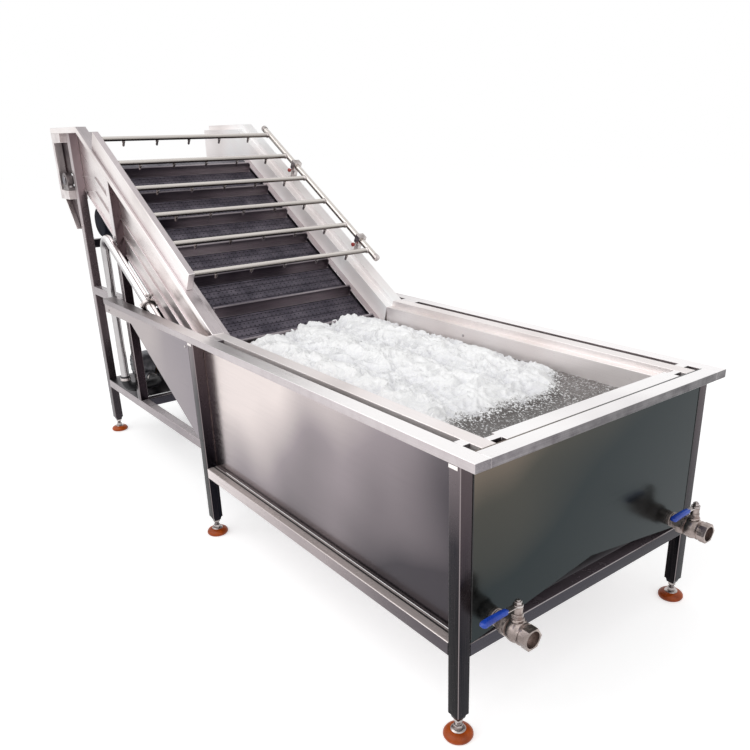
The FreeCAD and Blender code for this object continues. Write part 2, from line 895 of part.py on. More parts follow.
def blower():
    """Side-channel blower: round housing, motor barrel, foot and outlet flange towards the riser."""
    base = lower_rail_top + sheet
    axis = base + blower_axis_rise
    across = Vector(0, 1, 0)
    front = blower_plane - blower_foot_front
    back = blower_plane + blower_foot_back
    housing_start = Vector(blower_x, blower_plane - housing_width, axis)
    housing = Part.makeCylinder(housing_radius, housing_width, housing_start, across)
    motor_start = Vector(blower_x, blower_plane, axis)
    motor = Part.makeCylinder(blower_motor_radius, blower_motor_length, motor_start, across)
    foot = box(blower_x - blower_foot_half, blower_x + blower_foot_half, front, back, base,
               base + blower_foot_height)
    neck = box(blower_x - blower_neck_half, blower_x + blower_neck_half, front, back - 10, base, axis)
    outlet_start = Vector(blower_x, outlet_plane, base + outlet_rise)
    outlet = Part.makeCylinder(hose_diameter / 2 + outlet_wall, outlet_reach, outlet_start, Vector(1, 0, 0))
    return join([housing, motor, foot, neck, outlet])


def air_hose():
    """Rubber hose from the blower's outlet to the foot of the riser."""
    start = Vector(blower_x + outlet_reach + seat_gap, outlet_plane, lower_rail_top + sheet + outlet_rise)
    corner = Vector(riser_x, start.y, start.z)
    turn = Vector(riser_x, air_pipe_plane, start.z)
    end = Vector(riser_x, air_pipe_plane, riser_bottom - seat_gap)
    return pipe_along([start, corner, turn, end], hose_diameter * 0.9, hose_diameter)


def hexagon_bar(flats, length, x, y, z):
    """Hexagonal bar along +X from a start point, with flats above and below."""
    radius = flats / math.sqrt(3)
    corners = []
    for index in range(6):
        angle = math.radians(60 * index)
        corners.append(Vector(x, y + radius * math.cos(angle), z + radius * math.sin(angle)))
    return polygon(corners).extrude(Vector(length, 0, 0))


def valve_body(y):
    """Two-piece ball valve on its nipple, with its mouth towards +X and the ball closed inside."""
    along = Vector(1, 0, 0)
    z = valve_height
    nipple = Part.makeCylinder(nipple_radius, valve_stem_x, Vector(0, y, z), along)
    back_hex = hexagon_bar(valve_hex_flats, valve_hex_length, valve_stem_x - valve_hex_setback, y, z)
    front_hex = hexagon_bar(valve_hex_flats, valve_hex_length, valve_mouth_x - valve_hex_length, y, z)
    case = Part.makeSphere(valve_case_radius, Vector(valve_stem_x, y, z))
    barrel_length = valve_mouth_x - valve_barrel_short - valve_stem_x + valve_barrel_start
    barrel_start = Vector(valve_stem_x - valve_barrel_start, y, z)
    barrel = Part.makeCylinder(valve_barrel_radius, barrel_length, barrel_start, along)
    neck_top = lever_height - lever_thickness / 2 - 0.5
    neck = Part.makeCylinder(valve_neck_radius, neck_top - z, Vector(valve_stem_x, y, z))
    body = join([nipple, back_hex, front_hex, case, barrel, neck])
    bore_start = Vector(valve_mouth_x - valve_bore_depth, y, z)
    return body.cut(Part.makeCylinder(valve_bore_radius, valve_bore_depth, bore_start, along))


def valve_lever(y):
    """Lever on the valve stem in its closed position, square to the pipe."""
    z0 = lever_height - lever_thickness / 2
    start = Vector(valve_stem_x, y, z0)
    hub = Part.makeCylinder(lever_hub_radius, lever_thickness, start)
    nut = Part.makeCylinder(lever_nut_radius, lever_nut_height + lever_thickness, start)
    blade = box(valve_stem_x - lever_width / 2, valve_stem_x + lever_width / 2, y - lever_reach, y,
                z0, z0 + lever_thickness)
    return join([hub, nut, blade])


def write(node, shape):
    """Place a finished piece about the middle of the machine's length and write it."""
    placed = shape.copy()
    placed.translate(Vector(-length_centre, 0, 0))
    placed.exportStep("parts/" + node + ".step")


def build():
    os.makedirs("parts", exist_ok=True)
    near = -half_width
    near_rear = -elevator_half
    z0 = lower_rail_bottom
    z1 = lower_rail_top

    write("front_legs", both_sides(leg(front_leg_face, near, rim_bottom)))
    write("middle_legs", both_sides(leg(mid_leg_face, near, rim_bottom)))
    write("rear_legs", both_sides(leg(rear_leg_face, near_rear, head_height - rim_lip)))
    pads = []
    for face, y in ((front_leg_face, near), (mid_leg_face, near), (rear_leg_face, near_rear)):
        pads.append(foot_pad(face, y))
        pads.append(far_side(foot_pad(face, y)))
    write("levelling_feet", Part.makeCompound(pads))

    back_of_mid = mid_leg_face - tube
    write("tank_side_rails", both_sides(
        square_tube(mid_leg_face, front_leg_face - tube, near, near + tube, z0, z1)))
    write("tank_cross_rails", Part.makeCompound([
        square_tube(front_leg_face - tube, front_leg_face, -wall_plane, wall_plane, z0, z1),
        square_tube(mid_leg_face - tube, mid_leg_face, -wall_plane, wall_plane, z0, z1),
    ]))
    write("rear_side_rails", both_sides(
        square_tube(rear_leg_face, back_of_mid, near_rear, near_rear + tube, z0, z1)))
    write("upper_side_rails", both_sides(
        square_tube(rear_leg_face, post_face - tube, near_rear, near_rear + tube,
                    upper_rail_top - tube, upper_rail_top)))
    write("elevator_posts", both_sides(sloped_post(post_face, near_rear, z1)))
    cross = []
    for face, top in ((post_face, z1), (rear_leg_face, z1), (rear_leg_face, motor_rail_top)):
        cross.append(square_tube(face - tube, face, -web_plane, web_plane, top - tube, top))
    write("rear_cross_rails", Part.makeCompound(cross))

    write("tank_side_walls", both_sides(tank_wall()))
    write("tank_end_wall", tank_end_wall())
    write("tank_floor", tank_floor())
    write("tank_rear_slope", tank_rear_slope())
    write("side_covers", both_sides(side_cover()))
    write("rim_sides", both_sides(rim_side()))
    write("rim_end", box(0, rim_band, -slot_outer, slot_outer, rim_bottom, rim_height))
    write("slot_bridges", slot_bridges())
    write("tank_inner_walls", both_sides(tank_inner_wall()))
    write("tank_inner_end", tank_inner_end())

    write("elevator_side_near", elevator_side())
    write("elevator_side_far", far_side(elevator_side()))
    write("elevator_trough", elevator_trough())
    write("head_frames", both_sides(head_frame()))
    write("head_bearings", both_sides(head_bearing()))
    write("belt", belt())
    write("belt_guides", both_sides(belt_guide()))
    write("head_shaft", head_shaft())
    tail = on_slope(-tail_distance, belt_depth + wheel_radius)
    write("tail_shaft", shaft_with_drum(tail, -web_plane + sheet, web_plane - sheet))
    write("gearmotor", gearmotor())
    write("drive_chain", drive_chain())

    pipes = [spray_pipe(index) for index in range(spray_pipe_count)]
    write("spray_pipes", Part.makeCompound(pipes))
    write("spray_manifold", manifold())
    write("spray_carrier", spray_carrier())
    write("manifold_brackets", Part.makeCompound([
        manifold_bracket(spray_first + 0.35 * spray_pitch),
        manifold_bracket(spray_first + 3.5 * spray_pitch),
    ]))

    write("air_pipe", air_pipe())
    write("pipe_clamp", pipe_clamp())
    write("air_hose", air_hose())
    write("blower_shelf", blower_shelf())
    write("blower", blower())

    for name, y in (("near", -valve_axis_y), ("far", valve_axis_y)):
        write("drain_valve_" + name, valve_body(y))
        write("valve_lever_" + name, valve_lever(y))


build()
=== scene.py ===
import json
import math

import bmesh
import bpy
from mathutils import Matrix, Vector, noise


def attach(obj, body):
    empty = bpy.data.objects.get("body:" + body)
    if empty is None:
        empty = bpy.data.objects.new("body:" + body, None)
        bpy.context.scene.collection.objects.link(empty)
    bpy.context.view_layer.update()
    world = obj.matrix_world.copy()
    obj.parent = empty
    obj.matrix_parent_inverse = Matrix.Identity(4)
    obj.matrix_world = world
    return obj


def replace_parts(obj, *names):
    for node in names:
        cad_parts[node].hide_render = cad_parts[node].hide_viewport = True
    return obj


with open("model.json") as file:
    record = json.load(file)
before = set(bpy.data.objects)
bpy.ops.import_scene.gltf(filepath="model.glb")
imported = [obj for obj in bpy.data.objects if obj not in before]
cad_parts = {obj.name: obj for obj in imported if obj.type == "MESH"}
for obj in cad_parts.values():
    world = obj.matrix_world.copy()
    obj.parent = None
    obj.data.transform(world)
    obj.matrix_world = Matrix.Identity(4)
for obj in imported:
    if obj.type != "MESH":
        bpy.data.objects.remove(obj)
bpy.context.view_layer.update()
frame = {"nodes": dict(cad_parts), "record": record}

# Stations are in millimetres, measured back from the outer face of the drain end wall, as on the
# machine's own drawing: x along it, y across it from the middle, z up from the floor.
DRAIN_FACE = 1.40152
INCLINE = math.radians(31.0)
KINK_X = -1360.0
RIM = 800.0
HEAD = 1510.0
HEAD_REAR_X = KINK_X - (HEAD - RIM) / math.tan(INCLINE) - 391.4
HEAD_SHAFT = (HEAD_REAR_X + 85.0, 1276.0)
MOTOR_SHAFT = (HEAD_REAR_X + 257.0, 1088.0)
WEB = 359.0
WEB_DEPTH = 353.0
BEAD_DEPTHS = (216.0, 281.0)
BELT_DEPTH = 108.0
WHEEL = 65.0
BELT_HALF = 346.0
FLIGHT_HALF = 320.0
SPRAY_FIRST = 261.0
SPRAY_PITCH = 182.0
SPRAY_HEIGHT = 63.0
MANIFOLD = 414.0
HEAD_WHEEL, MOTOR_WHEEL = 64.0, 51.0
WATER = 712.0
RAIL_TOP = 288.0
VALVE_X, VALVE_Y = 78.0, 382.0
REAR_LEG_X = HEAD_REAR_X + 167.0
BLOWER_X = HEAD_REAR_X + 323.0
RISER_X = HEAD_REAR_X + 526.0
AIR_PIPE_Y = -428.0


def at(x, y, z):
    """A point of the drawing, in metres."""
    return Vector((x / 1000 + DRAIN_FACE, y / 1000, z / 1000))


def on_slope(along, depth):
    """Side-view point at a distance up the incline and a depth square below the flange's top."""
    x = KINK_X - along * math.cos(INCLINE) - depth * math.sin(INCLINE)
    return x, RIM + along * math.sin(INCLINE) - depth * math.cos(INCLINE)


def slope_station(z, depth):
    return KINK_X - (z + depth / math.cos(INCLINE) - RIM) / math.tan(INCLINE)


def slope_height(x, depth):
    """Height, at a station, of the line that runs up the incline at a depth."""
    return RIM + (KINK_X - x) * math.tan(INCLINE) - depth / math.cos(INCLINE)


def kink_point(depth):
    return KINK_X - depth * math.tan(INCLINE / 2), RIM - depth


def head_point(depth):
    return slope_station(HEAD - depth, depth), HEAD - depth


def add_block(bm, low, high):
    """A closed block between two corners, in metres."""
    corners = [bm.verts.new((x, y, z)) for x in (low[0], high[0]) for y in (low[1], high[1])
               for z in (low[2], high[2])]
    for face in ((0, 1, 3, 2), (4, 6, 7, 5), (0, 4, 5, 1), (2, 3, 7, 6), (0, 2, 6, 4), (1, 5, 7, 3)):
        bm.faces.new([corners[i] for i in face])


def add_between(bm, first, last):
    """A closed shape between two like outlines, each a list of points."""
    near = [bm.verts.new(point) for point in first]
    far = [bm.verts.new(point) for point in last]
    bm.faces.new(near)
    bm.faces.new(far[::-1])
    for i in range(len(near)):
        j = (i + 1) % len(near)
        bm.faces.new((near[i], far[i], far[j], near[j]))


def add_prism(bm, outline, y0, y1):
    """A plate whose outline lies in the side view, between two planes across the machine."""
    add_between(bm, [at(x, y0, z) for x, z in outline], [at(x, y1, z) for x, z in outline])


def both_sides(inner, outer):
    """The spans across the machine that lie as far out on the near side as on the far side."""
    return (-outer, -inner), (inner, outer)


def add_turned(bm, profile, place, steps=28, flats=None):
    """A shape turned about its local Z from (radius, height) pairs in millimetres."""
    steps = flats or steps
    rings = []
    for radius, height in profile:
        if radius < 1e-6:
            rings.append([bm.verts.new(place @ Vector((0, 0, height / 1000)))])
            continue
        ring = []
        for i in range(steps):
            angle = 2 * math.pi * i / steps
            spot = Vector((radius * math.cos(angle), radius * math.sin(angle), height)) / 1000
            ring.append(bm.verts.new(place @ spot))
        rings.append(ring)
    for low, high in zip(rings, rings[1:]):
        for i in range(steps):
            j = (i + 1) % steps
            if len(low) == 1 and len(high) == 1:
                continue
            if len(low) == 1:
                bm.faces.new((low[0], high[j], high[i]))
            elif len(high) == 1:
                bm.faces.new((low[i], low[j], high[0]))
            else:
                bm.faces.new((low[i], low[j], high[j], high[i]))


def facing(point, axis):
    """Placement whose local Z looks along an axis."""
    turn = Vector(axis).normalized().to_track_quat("Z", "Y").to_matrix().to_4x4()
    return Matrix.Translation(point) @ turn


def strip_up_incline(bm, depth0, depth1, y0, y1):
    """A narrow strip on the elevator's side that turns both mitres."""
    outline = [kink_point(depth0), head_point(depth0), (HEAD_REAR_X + 60, HEAD - depth0),
               (HEAD_REAR_X + 60, HEAD - depth1), head_point(depth1), kink_point(depth1)]
    add_prism(bm, outline, y0, y1)


def bar_on_slope(bm, along0, along1, depth0, depth1, y0, y1):
    outline = [on_slope(along0, depth0), on_slope(along1, depth0), on_slope(along1, depth1), on_slope(along0, depth1)]
    add_prism(bm, outline, y0, y1)


def linear(code):
    """An sRGB hex colour as the linear values that the sockets take."""
    values = []
    for i in (0, 2, 4):
        share = int(code[i:i + 2], 16) / 255
        values.append(share / 12.92 if share <= 0.04045 else ((share + 0.055) / 1.055) ** 2.4)
    return (*values, 1.0)


def add(tree, kind, feeds=None, out=0, **settings):
    """Adds one node to a tree, with its settings, and feeds its inputs from values or other nodes.
    It gives back one output, or all of them."""
    made = tree.nodes.new(kind if kind.startswith(("Geometry", "Function", "NodeGroup")) else "ShaderNode" + kind)
    for key, value in settings.items():
        setattr(made, key, value)
    for key, value in (feeds or {}).items():
        socket = made.inputs[key]
        if isinstance(value, bpy.types.NodeSocket):
            tree.links.new(value, socket)
        else:
            socket.default_value = value
    return made.outputs if out is None else made.outputs[out]


def shader_inputs(finish):
    return finish.node_tree.nodes["Principled BSDF"].inputs


def begin(name, **shader):
    """A new material, its node tree and the object coordinates in metres."""
    finish = bpy.data.materials.new(name)
    finish.use_nodes = True
    for key, value in shader.items():
        shader_inputs(finish)[key.replace("_", " ")].default_value = value
    return finish, finish.node_tree, add(finish.node_tree, "TexCoord", out="Object")


def blend_colour(tree, share, first, second):
    """Mixes two hex colours, or colour sockets, by a share."""
    feeds = {0: share}
    for index, colour in ((6, first), (7, second)):
        feeds[index] = linear(colour) if isinstance(colour, str) else colour
    return add(tree, "Mix", feeds, data_type="RGBA", out=2)


def coat(finish, colour, gloss, smooth, rough, height, strength, depth, **bump):
    """Joins a material's colour, its uneven roughness and its fine relief to its shader."""
    tree, skin = finish.node_tree, shader_inputs(finish)
    tree.links.new(colour, skin["Base Color"])
    tree.links.new(add(tree, "MapRange", {0: gloss, 1: 0.3, 2: 0.7, 3: smooth, 4: rough}), skin["Roughness"])
    relief = {"Height": height, "Strength": strength, "Distance": depth}
    tree.links.new(add(tree, "Bump", relief, **bump), skin["Normal"])
    return finish


def run_between(tree, place, first, last, waver):
    """A share that goes from 0 at one point of the machine to 1 at another, with a slow waver."""
    first, last = at(*first), at(*last)
    axis = (last - first) / (last - first).length_squared
    share = add(tree, "VectorMath", {0: place, 1: axis}, operation="DOT_PRODUCT", out="Value")
    slow = add(tree, "TexNoise", {"Vector": place, "Scale": 2.6, "Detail": 1.0})
    start = -first.dot(axis)
    offset = add(tree, "MapRange", {0: slow, 1: 0.25, 2: 0.75, 3: start - waver, 4: start + waver})
    return add(tree, "Math", {0: share, 1: offset}, operation="ADD", use_clamp=True)


def three_tones(tree, share, first, middle, last):
    """Passes through three colours as a share goes from 0 to 1."""
    early = blend_colour(tree, add(tree, "MapRange", {0: share, 1: 0.0, 2: 0.5}), first, middle)
    return blend_colour(tree, add(tree, "MapRange", {0: share, 1: 0.5, 2: 1.0}), early, last)


def turned_to(tree, axis):
    """How far the surface faces along an axis of the machine, to either side."""
    part = add(tree, "SeparateXYZ", {0: add(tree, "NewGeometry", out="Normal")}, out=axis)
    size = add(tree, "Math", {0: part}, operation="ABSOLUTE")
    return add(tree, "MapRange", {0: size, 1: 0.6, 2: 0.8})


def rounded_corner(tree):
    """Finds the rounded corners of a square tube, where the surface faces along no axis."""
    normal = add(tree, "NewGeometry", out="Normal")
    size = add(tree, "VectorMath", {0: normal}, operation="ABSOLUTE")
    parts = add(tree, "SeparateXYZ", {0: size}, out=None)
    most = add(tree, "Math", {0: parts["X"], 1: parts["Y"]}, operation="MAXIMUM")
    most = add(tree, "Math", {0: most, 1: parts["Z"]}, operation="MAXIMUM")
    return add(tree, "MapRange", {0: most, 1: 0.80, 2: 0.95, 3: 0.8, 4: 0.0})


def water_drops(tree, place, amount):
    """Beads of water about 4 mm across, in clusters."""
    beads = add(tree, "TexVoronoi", {"Vector": place, "Scale": 160.0})
    where = add(tree, "TexNoise", {"Vector": place, "Scale": 26.0, "Detail": 3.0})
    held = add(tree, "MapRange", {0: where, 1: 0.48, 2: 0.62, 3: 0.0, 4: amount})
    round_drops = add(tree, "MapRange", {0: beads, 1: 0.16, 2: 0.30, 3: 1.0, 4: 0.0})
    return add(tree, "Math", {0: round_drops, 1: held}, operation="MULTIPLY")


def satin_sheet(name, tones, rough, grain, turn=0.0, run=None, waver=0.1, broad=2.2, streaks=0.12, wet=0.0, edges=(),
                metal=1.0):
    """Stainless sheet with a satin grind along one direction. It gives soft long reflections, with
    faint streaks along the grain and slow cloudy changes of tone. Where a run is given, the tone goes
    from light to dark between two points instead, as a painted gradient of reflected light and shade.
    Wet sheet holds small drops. Faces that look along a given axis get a painted shade tone of their own."""
    finish, tree, place = begin(name, Metallic=metal)
    turned = add(tree, "Mapping", {"Vector": place, "Rotation": (0.0, turn, 0.0)})
    # The real scratches are 0.1 mm wide. They are drawn 2 to 3 mm wide so that they show.
    streak_at = add(tree, "Mapping", {"Vector": turned, "Scale": grain})
    streak = add(tree, "TexNoise", {"Vector": streak_at, "Scale": 1.0, "Detail": 4.0, "Roughness": 0.6})
    # Painted reflection and shade: with a run, the tone goes from light to dark between two points of the machine.
    if run:
        share = run_between(tree, place, *run, waver)
    else:
        cloud = add(tree, "TexNoise", {"Vector": place, "Scale": broad, "Detail": 2.0})
        share = add(tree, "MapRange", {0: cloud, 1: 0.36, 2: 0.70})
    colour = three_tones(tree, share, *tones.split())
    # Painted shade: faces that look along an axis get a mottled tone of their own, by how they turn to the light.
    for axis, first, last, stretch in edges:
        mottle = add(tree, "TexNoise", {"Vector": place, "Scale": 18.0, "Detail": 5.0, "Roughness": 0.7})
        shade_mottle = add(tree, "MapRange", {0: mottle, 1: 0.25, 2: 0.60, 3: 1.0, 4: 0.85})
        weight = add(tree, "Math", {0: turned_to(tree, axis), 1: shade_mottle}, operation="MULTIPLY")
        tone = blend_colour(tree, run_between(tree, place, *stretch, 0.2), first, last)
        colour = blend_colour(tree, weight, colour, tone)
    dark = add(tree, "MapRange", {0: streak, 1: 0.40, 2: 0.75, 3: 0.0, 4: streaks})
    colour = blend_colour(tree, dark, colour, tones[-6:])
    height = streak
    if wet:
        drops = water_drops(tree, place, wet)
        colour = blend_colour(tree, drops, colour, tones[-6:])
        height = add(tree, "Math", {0: drops, 1: streak}, operation="ADD")
    return coat(finish, colour, streak, rough - 0.04, rough + 0.06, height, 0.12, 0.0005)


def square_tube_finish(use, lit_face_tones, shaded_face_tones, rough, grain, run, top=None, painted_corner_highlight="9b9192", metal=1.0):
    """Square stainless tube, polished along its length, with painted light and shade: the faces along
    the machine are painted light and those across it painted dark, the tone changes between two
    points as painted shade, the rounded corners carry a painted highlight and the tops a pale painted
    light with less metal. A few scuffs break its gloss."""
    finish, tree, place = begin("stainless_square_tube_" + use, Metallic=metal)
    along = add(tree, "Mapping", {"Vector": place, "Scale": grain})
    streak = add(tree, "TexNoise", {"Vector": along, "Scale": 1.0, "Detail": 3.0})
    scuff = add(tree, "TexNoise", {"Vector": place, "Scale": 9.0, "Detail": 5.0, "Roughness": 0.7})
    # Painted shade: the tone changes between the two points of the run.
    share = run_between(tree, place, *run, 0.08)
    # Painted light and shade: faces across the machine take the shaded tones, the others the lit tones.
    colour = blend_colour(tree, turned_to(tree, "X"), three_tones(tree, share, *lit_face_tones.split()),
                          three_tones(tree, share, *shaded_face_tones.split()))
    # Painted light on the tops, with less metal.
    if top:
        flat = turned_to(tree, "Z")
        colour = blend_colour(tree, flat, colour, top)
        top_metal_share = add(tree, "MapRange", {0: flat, 3: metal, 4: 0.45})
        tree.links.new(top_metal_share, shader_inputs(finish)["Metallic"])
    dark = add(tree, "MapRange", {0: streak, 1: 0.40, 2: 0.75, 3: 0.0, 4: 0.18})
    colour = blend_colour(tree, dark, colour, shaded_face_tones[-6:])
    # Painted highlight on the rounded corners.
    colour = blend_colour(tree, rounded_corner(tree), colour, painted_corner_highlight)
    return coat(finish, colour, scuff, rough - 0.06, rough + 0.10, streak, 0.10, 0.0004)


def round_tube_finish(name, light, dark, rough, grain, streaks):
    """Round stainless tube, polished bright. Faint rings or streaks from the polishing belt show. Its upper side is
    painted light and its underside painted dark, as painted shade.
    """
    finish, tree, place = begin(name, Metallic=1.0)
    along = add(tree, "Mapping", {"Vector": place, "Scale": grain})
    streak = add(tree, "TexNoise", {"Vector": along, "Scale": 1.0, "Detail": 2.0})
    # Painted light and shade: the colour goes from light on top to dark underneath by the facing of the surface.
    under = add(tree, "SeparateXYZ", {0: add(tree, "NewGeometry", out="Normal")}, out="Z")
    colour = blend_colour(tree, add(tree, "MapRange", {0: under, 1: 0.6, 2: -0.5}), light, dark)
    share = add(tree, "MapRange", {0: streak, 1: 0.45, 2: 0.75, 3: 0.0, 4: streaks})
    colour = blend_colour(tree, share, colour, dark)
    return coat(finish, colour, streak, rough - 0.03, rough + 0.06, streak, 0.06, 0.0003)


def head_frame_finish():
    """Bright sheet for the members of the head frame. The panel and the gusset lie 40 mm further in,
    and there the sheet takes a dark brown mottle as painted shade."""
    finish, tree, place = begin("stainless_head_frame_sheet", Metallic=1.0)
    across = add(tree, "SeparateXYZ", {0: place}, out="Y")
    away = add(tree, "Math", {0: across}, operation="ABSOLUTE")
    cloud = add(tree, "TexNoise", {"Vector": place, "Scale": 14.0, "Detail": 4.0})
    bright = blend_colour(tree, add(tree, "MapRange", {0: cloud, 1: 0.35, 2: 0.65}), "e9e2e1", "c9c0bf")
    shade_mottle = blend_colour(tree, add(tree, "MapRange", {0: cloud, 1: 0.35, 2: 0.65}), "47393b", "352b30")
    # Painted shade: the recessed panel and gusset, found by their distance from the middle, take the dark brown
    # mottle.
    colour = blend_colour(tree, add(tree, "MapRange", {0: away, 1: 0.3945, 2: 0.3985, 3: 1.0, 4: 0.0}), bright, shade_mottle)
    return coat(finish, colour, cloud, 0.26, 0.40, cloud, 0.10, 0.0008)


def cast_steel(name, light, dark, rough, pits):
    """Investment-cast stainless, tumbled and left unpolished: fine pits and a warm uneven grey."""
    finish, tree, place = begin(name, Metallic=1.0)
    grains = add(tree, "TexNoise", {"Vector": place, "Scale": pits, "Detail": 4.0})
    stain = add(tree, "TexNoise", {"Vector": place, "Scale": 30.0, "Detail": 2.0})
    colour = blend_colour(tree, add(tree, "MapRange", {0: stain, 1: 0.35, 2: 0.65}), light, dark)
    return coat(finish, colour, grains, rough - 0.05, rough + 0.1, grains, 0.35, 0.0004)


def moulded(name, light, dark, rough, grit, **shader):
    """Moulded plastic, rubber or paint: slight mottling and a fine grit in the gloss."""
    finish, tree, place = begin(name, **shader)
    mottle = add(tree, "TexNoise", {"Vector": place, "Scale": 22.0, "Detail": 4.0})
    fine = add(tree, "TexNoise", {"Vector": place, "Scale": grit, "Detail": 3.0})
    colour = blend_colour(tree, add(tree, "MapRange", {0: mottle, 1: 0.35, 2: 0.65}), light, dark)
    return coat(finish, colour, fine, rough - 0.06, rough + 0.08, fine, 0.3, 0.0003)


def wet_belt_plate():
    """Hinged steel plates of the belt, dark with water and use, with rows of punched drain holes."""
    finish, tree, place = begin("belt_plate_wet_punched_steel", Metallic=0.9)
    plate = add(tree, "Attribute", attribute_name="plate", out="Vector")
    # Holes of 6 mm on a 19 mm pitch, two rows to a plate.
    scaled = add(tree, "VectorMath", {0: plate, 1: (1 / 0.019, 1 / 0.019, 0.0)}, operation="MULTIPLY")
    cell = add(tree, "VectorMath", {0: scaled}, operation="FRACTION")
    away = add(tree, "VectorMath", {0: cell, 1: (0.5, 0.5, 0.0)}, operation="DISTANCE", out="Value")
    hole = add(tree, "MapRange", {0: away, 1: 0.14, 2: 0.19, 3: 1.0, 4: 0.0})
    stain = add(tree, "TexNoise", {"Vector": place, "Scale": 14.0, "Detail": 5.0, "Roughness": 0.65})
    colour = blend_colour(tree, add(tree, "MapRange", {0: stain, 1: 0.35, 2: 0.65}), "67616b", "46424c")
    # Painted shade: the holes are coloured near black for the shade seen through them.
    colour = blend_colour(tree, hole, colour, "141318")
    return coat(finish, colour, stain, 0.28, 0.48, hole, 0.6, 0.0015, invert=True)


def churned_water():
    """Water full of air. The foam is white and matt, with painted shade that greys its hollows. Between it the
    surface is clear, dark and smooth, with small ripples drawn as painted glints."""
    finish, tree, place = begin("water_churned_with_air", IOR=1.33)
    foam = add(tree, "Attribute", attribute_name="foam", out="Fac")
    hollow_shade = add(tree, "Attribute", attribute_name="hollow_shade", out="Fac")
    fleck = add(tree, "TexNoise", {"Vector": place, "Scale": 70.0, "Detail": 8.0, "Roughness": 0.78,
                                   "Distortion": 0.9})
    # Painted glints: fine white flecks on the clear water stand in for ripples catching the light.
    glint_noise = add(tree, "TexNoise", {"Vector": place, "Scale": 140.0, "Detail": 2.0, "Distortion": 0.6})
    painted_glints = add(tree, "MapRange", {0: glint_noise, 1: 0.52, 2: 0.62, 3: 0.0, 4: 0.45})
    torn = add(tree, "MapRange", {0: fleck, 1: 0.3, 2: 0.7, 3: -0.3, 4: 0.3})
    cover = add(tree, "Math", {0: foam, 1: torn}, operation="ADD")
    cover = add(tree, "Math", {0: cover, 1: painted_glints}, operation="ADD")
    white = add(tree, "MapRange", {0: cover, 1: 0.36, 2: 0.66})
    uneven = add(tree, "MapRange", {0: fleck, 1: 0.34, 2: 0.66, 3: -0.30, 4: 0.32})
    # Painted shade: the foam greys in its hollows, as the attribute from the surface says.
    shade = add(tree, "Math", {0: hollow_shade, 1: uneven}, operation="ADD")
    tone = three_tones(tree, shade, "ffffff", "ececef", "a5a3a9")
    coat(finish, blend_colour(tree, white, "5d5856", tone), white, 0.05, 0.5, fleck, 0.5, 0.004)
    tree.links.new(add(tree, "MapRange", {0: white, 3: 0.05, 4: 0.5}), shader_inputs(finish)["Roughness"])
    return finish


# Scales of a pattern that runs along the machine, across it or up it, per metre.
LENGTHWISE = (4.0, 380.0, 380.0)
CROSSWISE = (380.0, 4.0, 380.0)
UPRIGHT = (380.0, 380.0, 6.0)
RIM_RUN = ((-2250.0, -480.0, RIM), (-1050.0, -480.0, RIM))
END_RIM_RUN = ((0.0, -500.0, RIM), (0.0, -100.0, RIM))
UP_THE_REAR = ((0.0, -400.0, 200.0), (0.0, -400.0, 1200.0))
# Painted shade on the rim faces that look across the machine and along it.
RIM_FACE_SHADES = (("Y", "837a7d", "b3aaac", RIM_RUN), ("X", "665f65", "353237", END_RIM_RUN))

# Painted reflection and shade in the runs below: the rim lighter towards the drain end, the tank wall darker towards
# the bottom and the drain end, the end wall darker lower down and towards the middle, the side covers darker lower
# down and towards the drain end.
rim_sheet = satin_sheet("stainless_rim_sheet_ground_lengthwise", "8f8688 c9c2c2 faf7f7", 0.30, LENGTHWISE,
                        run=RIM_RUN, edges=RIM_FACE_SHADES)
end_rim_sheet = satin_sheet("stainless_end_rim_sheet_ground_crosswise", "fbf9f9 f6f3f3 e6e2e3", 0.30,
                            CROSSWISE, edges=RIM_FACE_SHADES)
tank_sheet = satin_sheet("stainless_tank_wall_sheet_cold_rolled", "dacfcc 8d8488 413d42", 0.20, LENGTHWISE,
                         run=((-1107.0, -460.0, 650.0), (-746.0, -460.0, 90.0)), waver=0.22, streaks=0.05)
# Painted reflection: the end wall is a darker copy of the wall sheet, for the dark surroundings it faces.
end_sheet = satin_sheet("stainless_end_wall_sheet_cold_rolled", "7d7064 474641 2a3133", 0.20, CROSSWISE,
                        run=((0.0, -400.0, 800.0), (0.0, -260.0, 500.0)), waver=0.22, streaks=0.05)
cover_sheet = satin_sheet("stainless_cover_sheet", "a39999 8a8185 827a80", 0.22, LENGTHWISE,
                          run=((-1900.0, -500.0, 700.0), (-1430.0, -500.0, 430.0)), waver=0.3, streaks=0.08)
inner_sheet = satin_sheet("stainless_inner_tank_sheet", "f8f2f1 f0e8e6 dcd4d2", 0.38, LENGTHWISE,
                          streaks=0.15, wet=0.35, metal=0.6)
gutter_sheet = satin_sheet("stainless_gutter_sheet", "c9c0c1 a89fa2 837b7f", 0.36, LENGTHWISE, metal=0.7)
# Painted shade: faces of the elevator sheet that look up or down get a greyer tone.
slope_sheet = satin_sheet("stainless_elevator_sheet_ground_along_the_incline", "fbf6f5 f2ebe9 d9d0ce", 0.30,
                          LENGTHWISE, turn=-INCLINE, broad=3.0, streaks=0.2, wet=0.4,
                          edges=(("Z", "bdb4b7", "aaa1a4", RIM_RUN),))
# Painted light: the far elevator side is a paler, less metallic copy of the elevator sheet, for the sky it reflects.
lit_far_side_sheet = satin_sheet("stainless_elevator_sheet_far_side_painted_light", "ffffff faf4f3 e9e2e0", 0.42,
                              LENGTHWISE, turn=-INCLINE, broad=3.0, streaks=0.2, wet=0.4, metal=0.15)
# Painted shade: the sheets under the tank and the elevator and the blower shelf get dark tones for the shade there.
under_sheet = satin_sheet("stainless_under_sheet_painted_shade", "5d585c 423e43 2b292e", 0.36, CROSSWISE)
flight_sheet = satin_sheet("stainless_flight_sheet_wet", "a39b9f 857d82 4a454c", 0.30, CROSSWISE, wet=0.5)
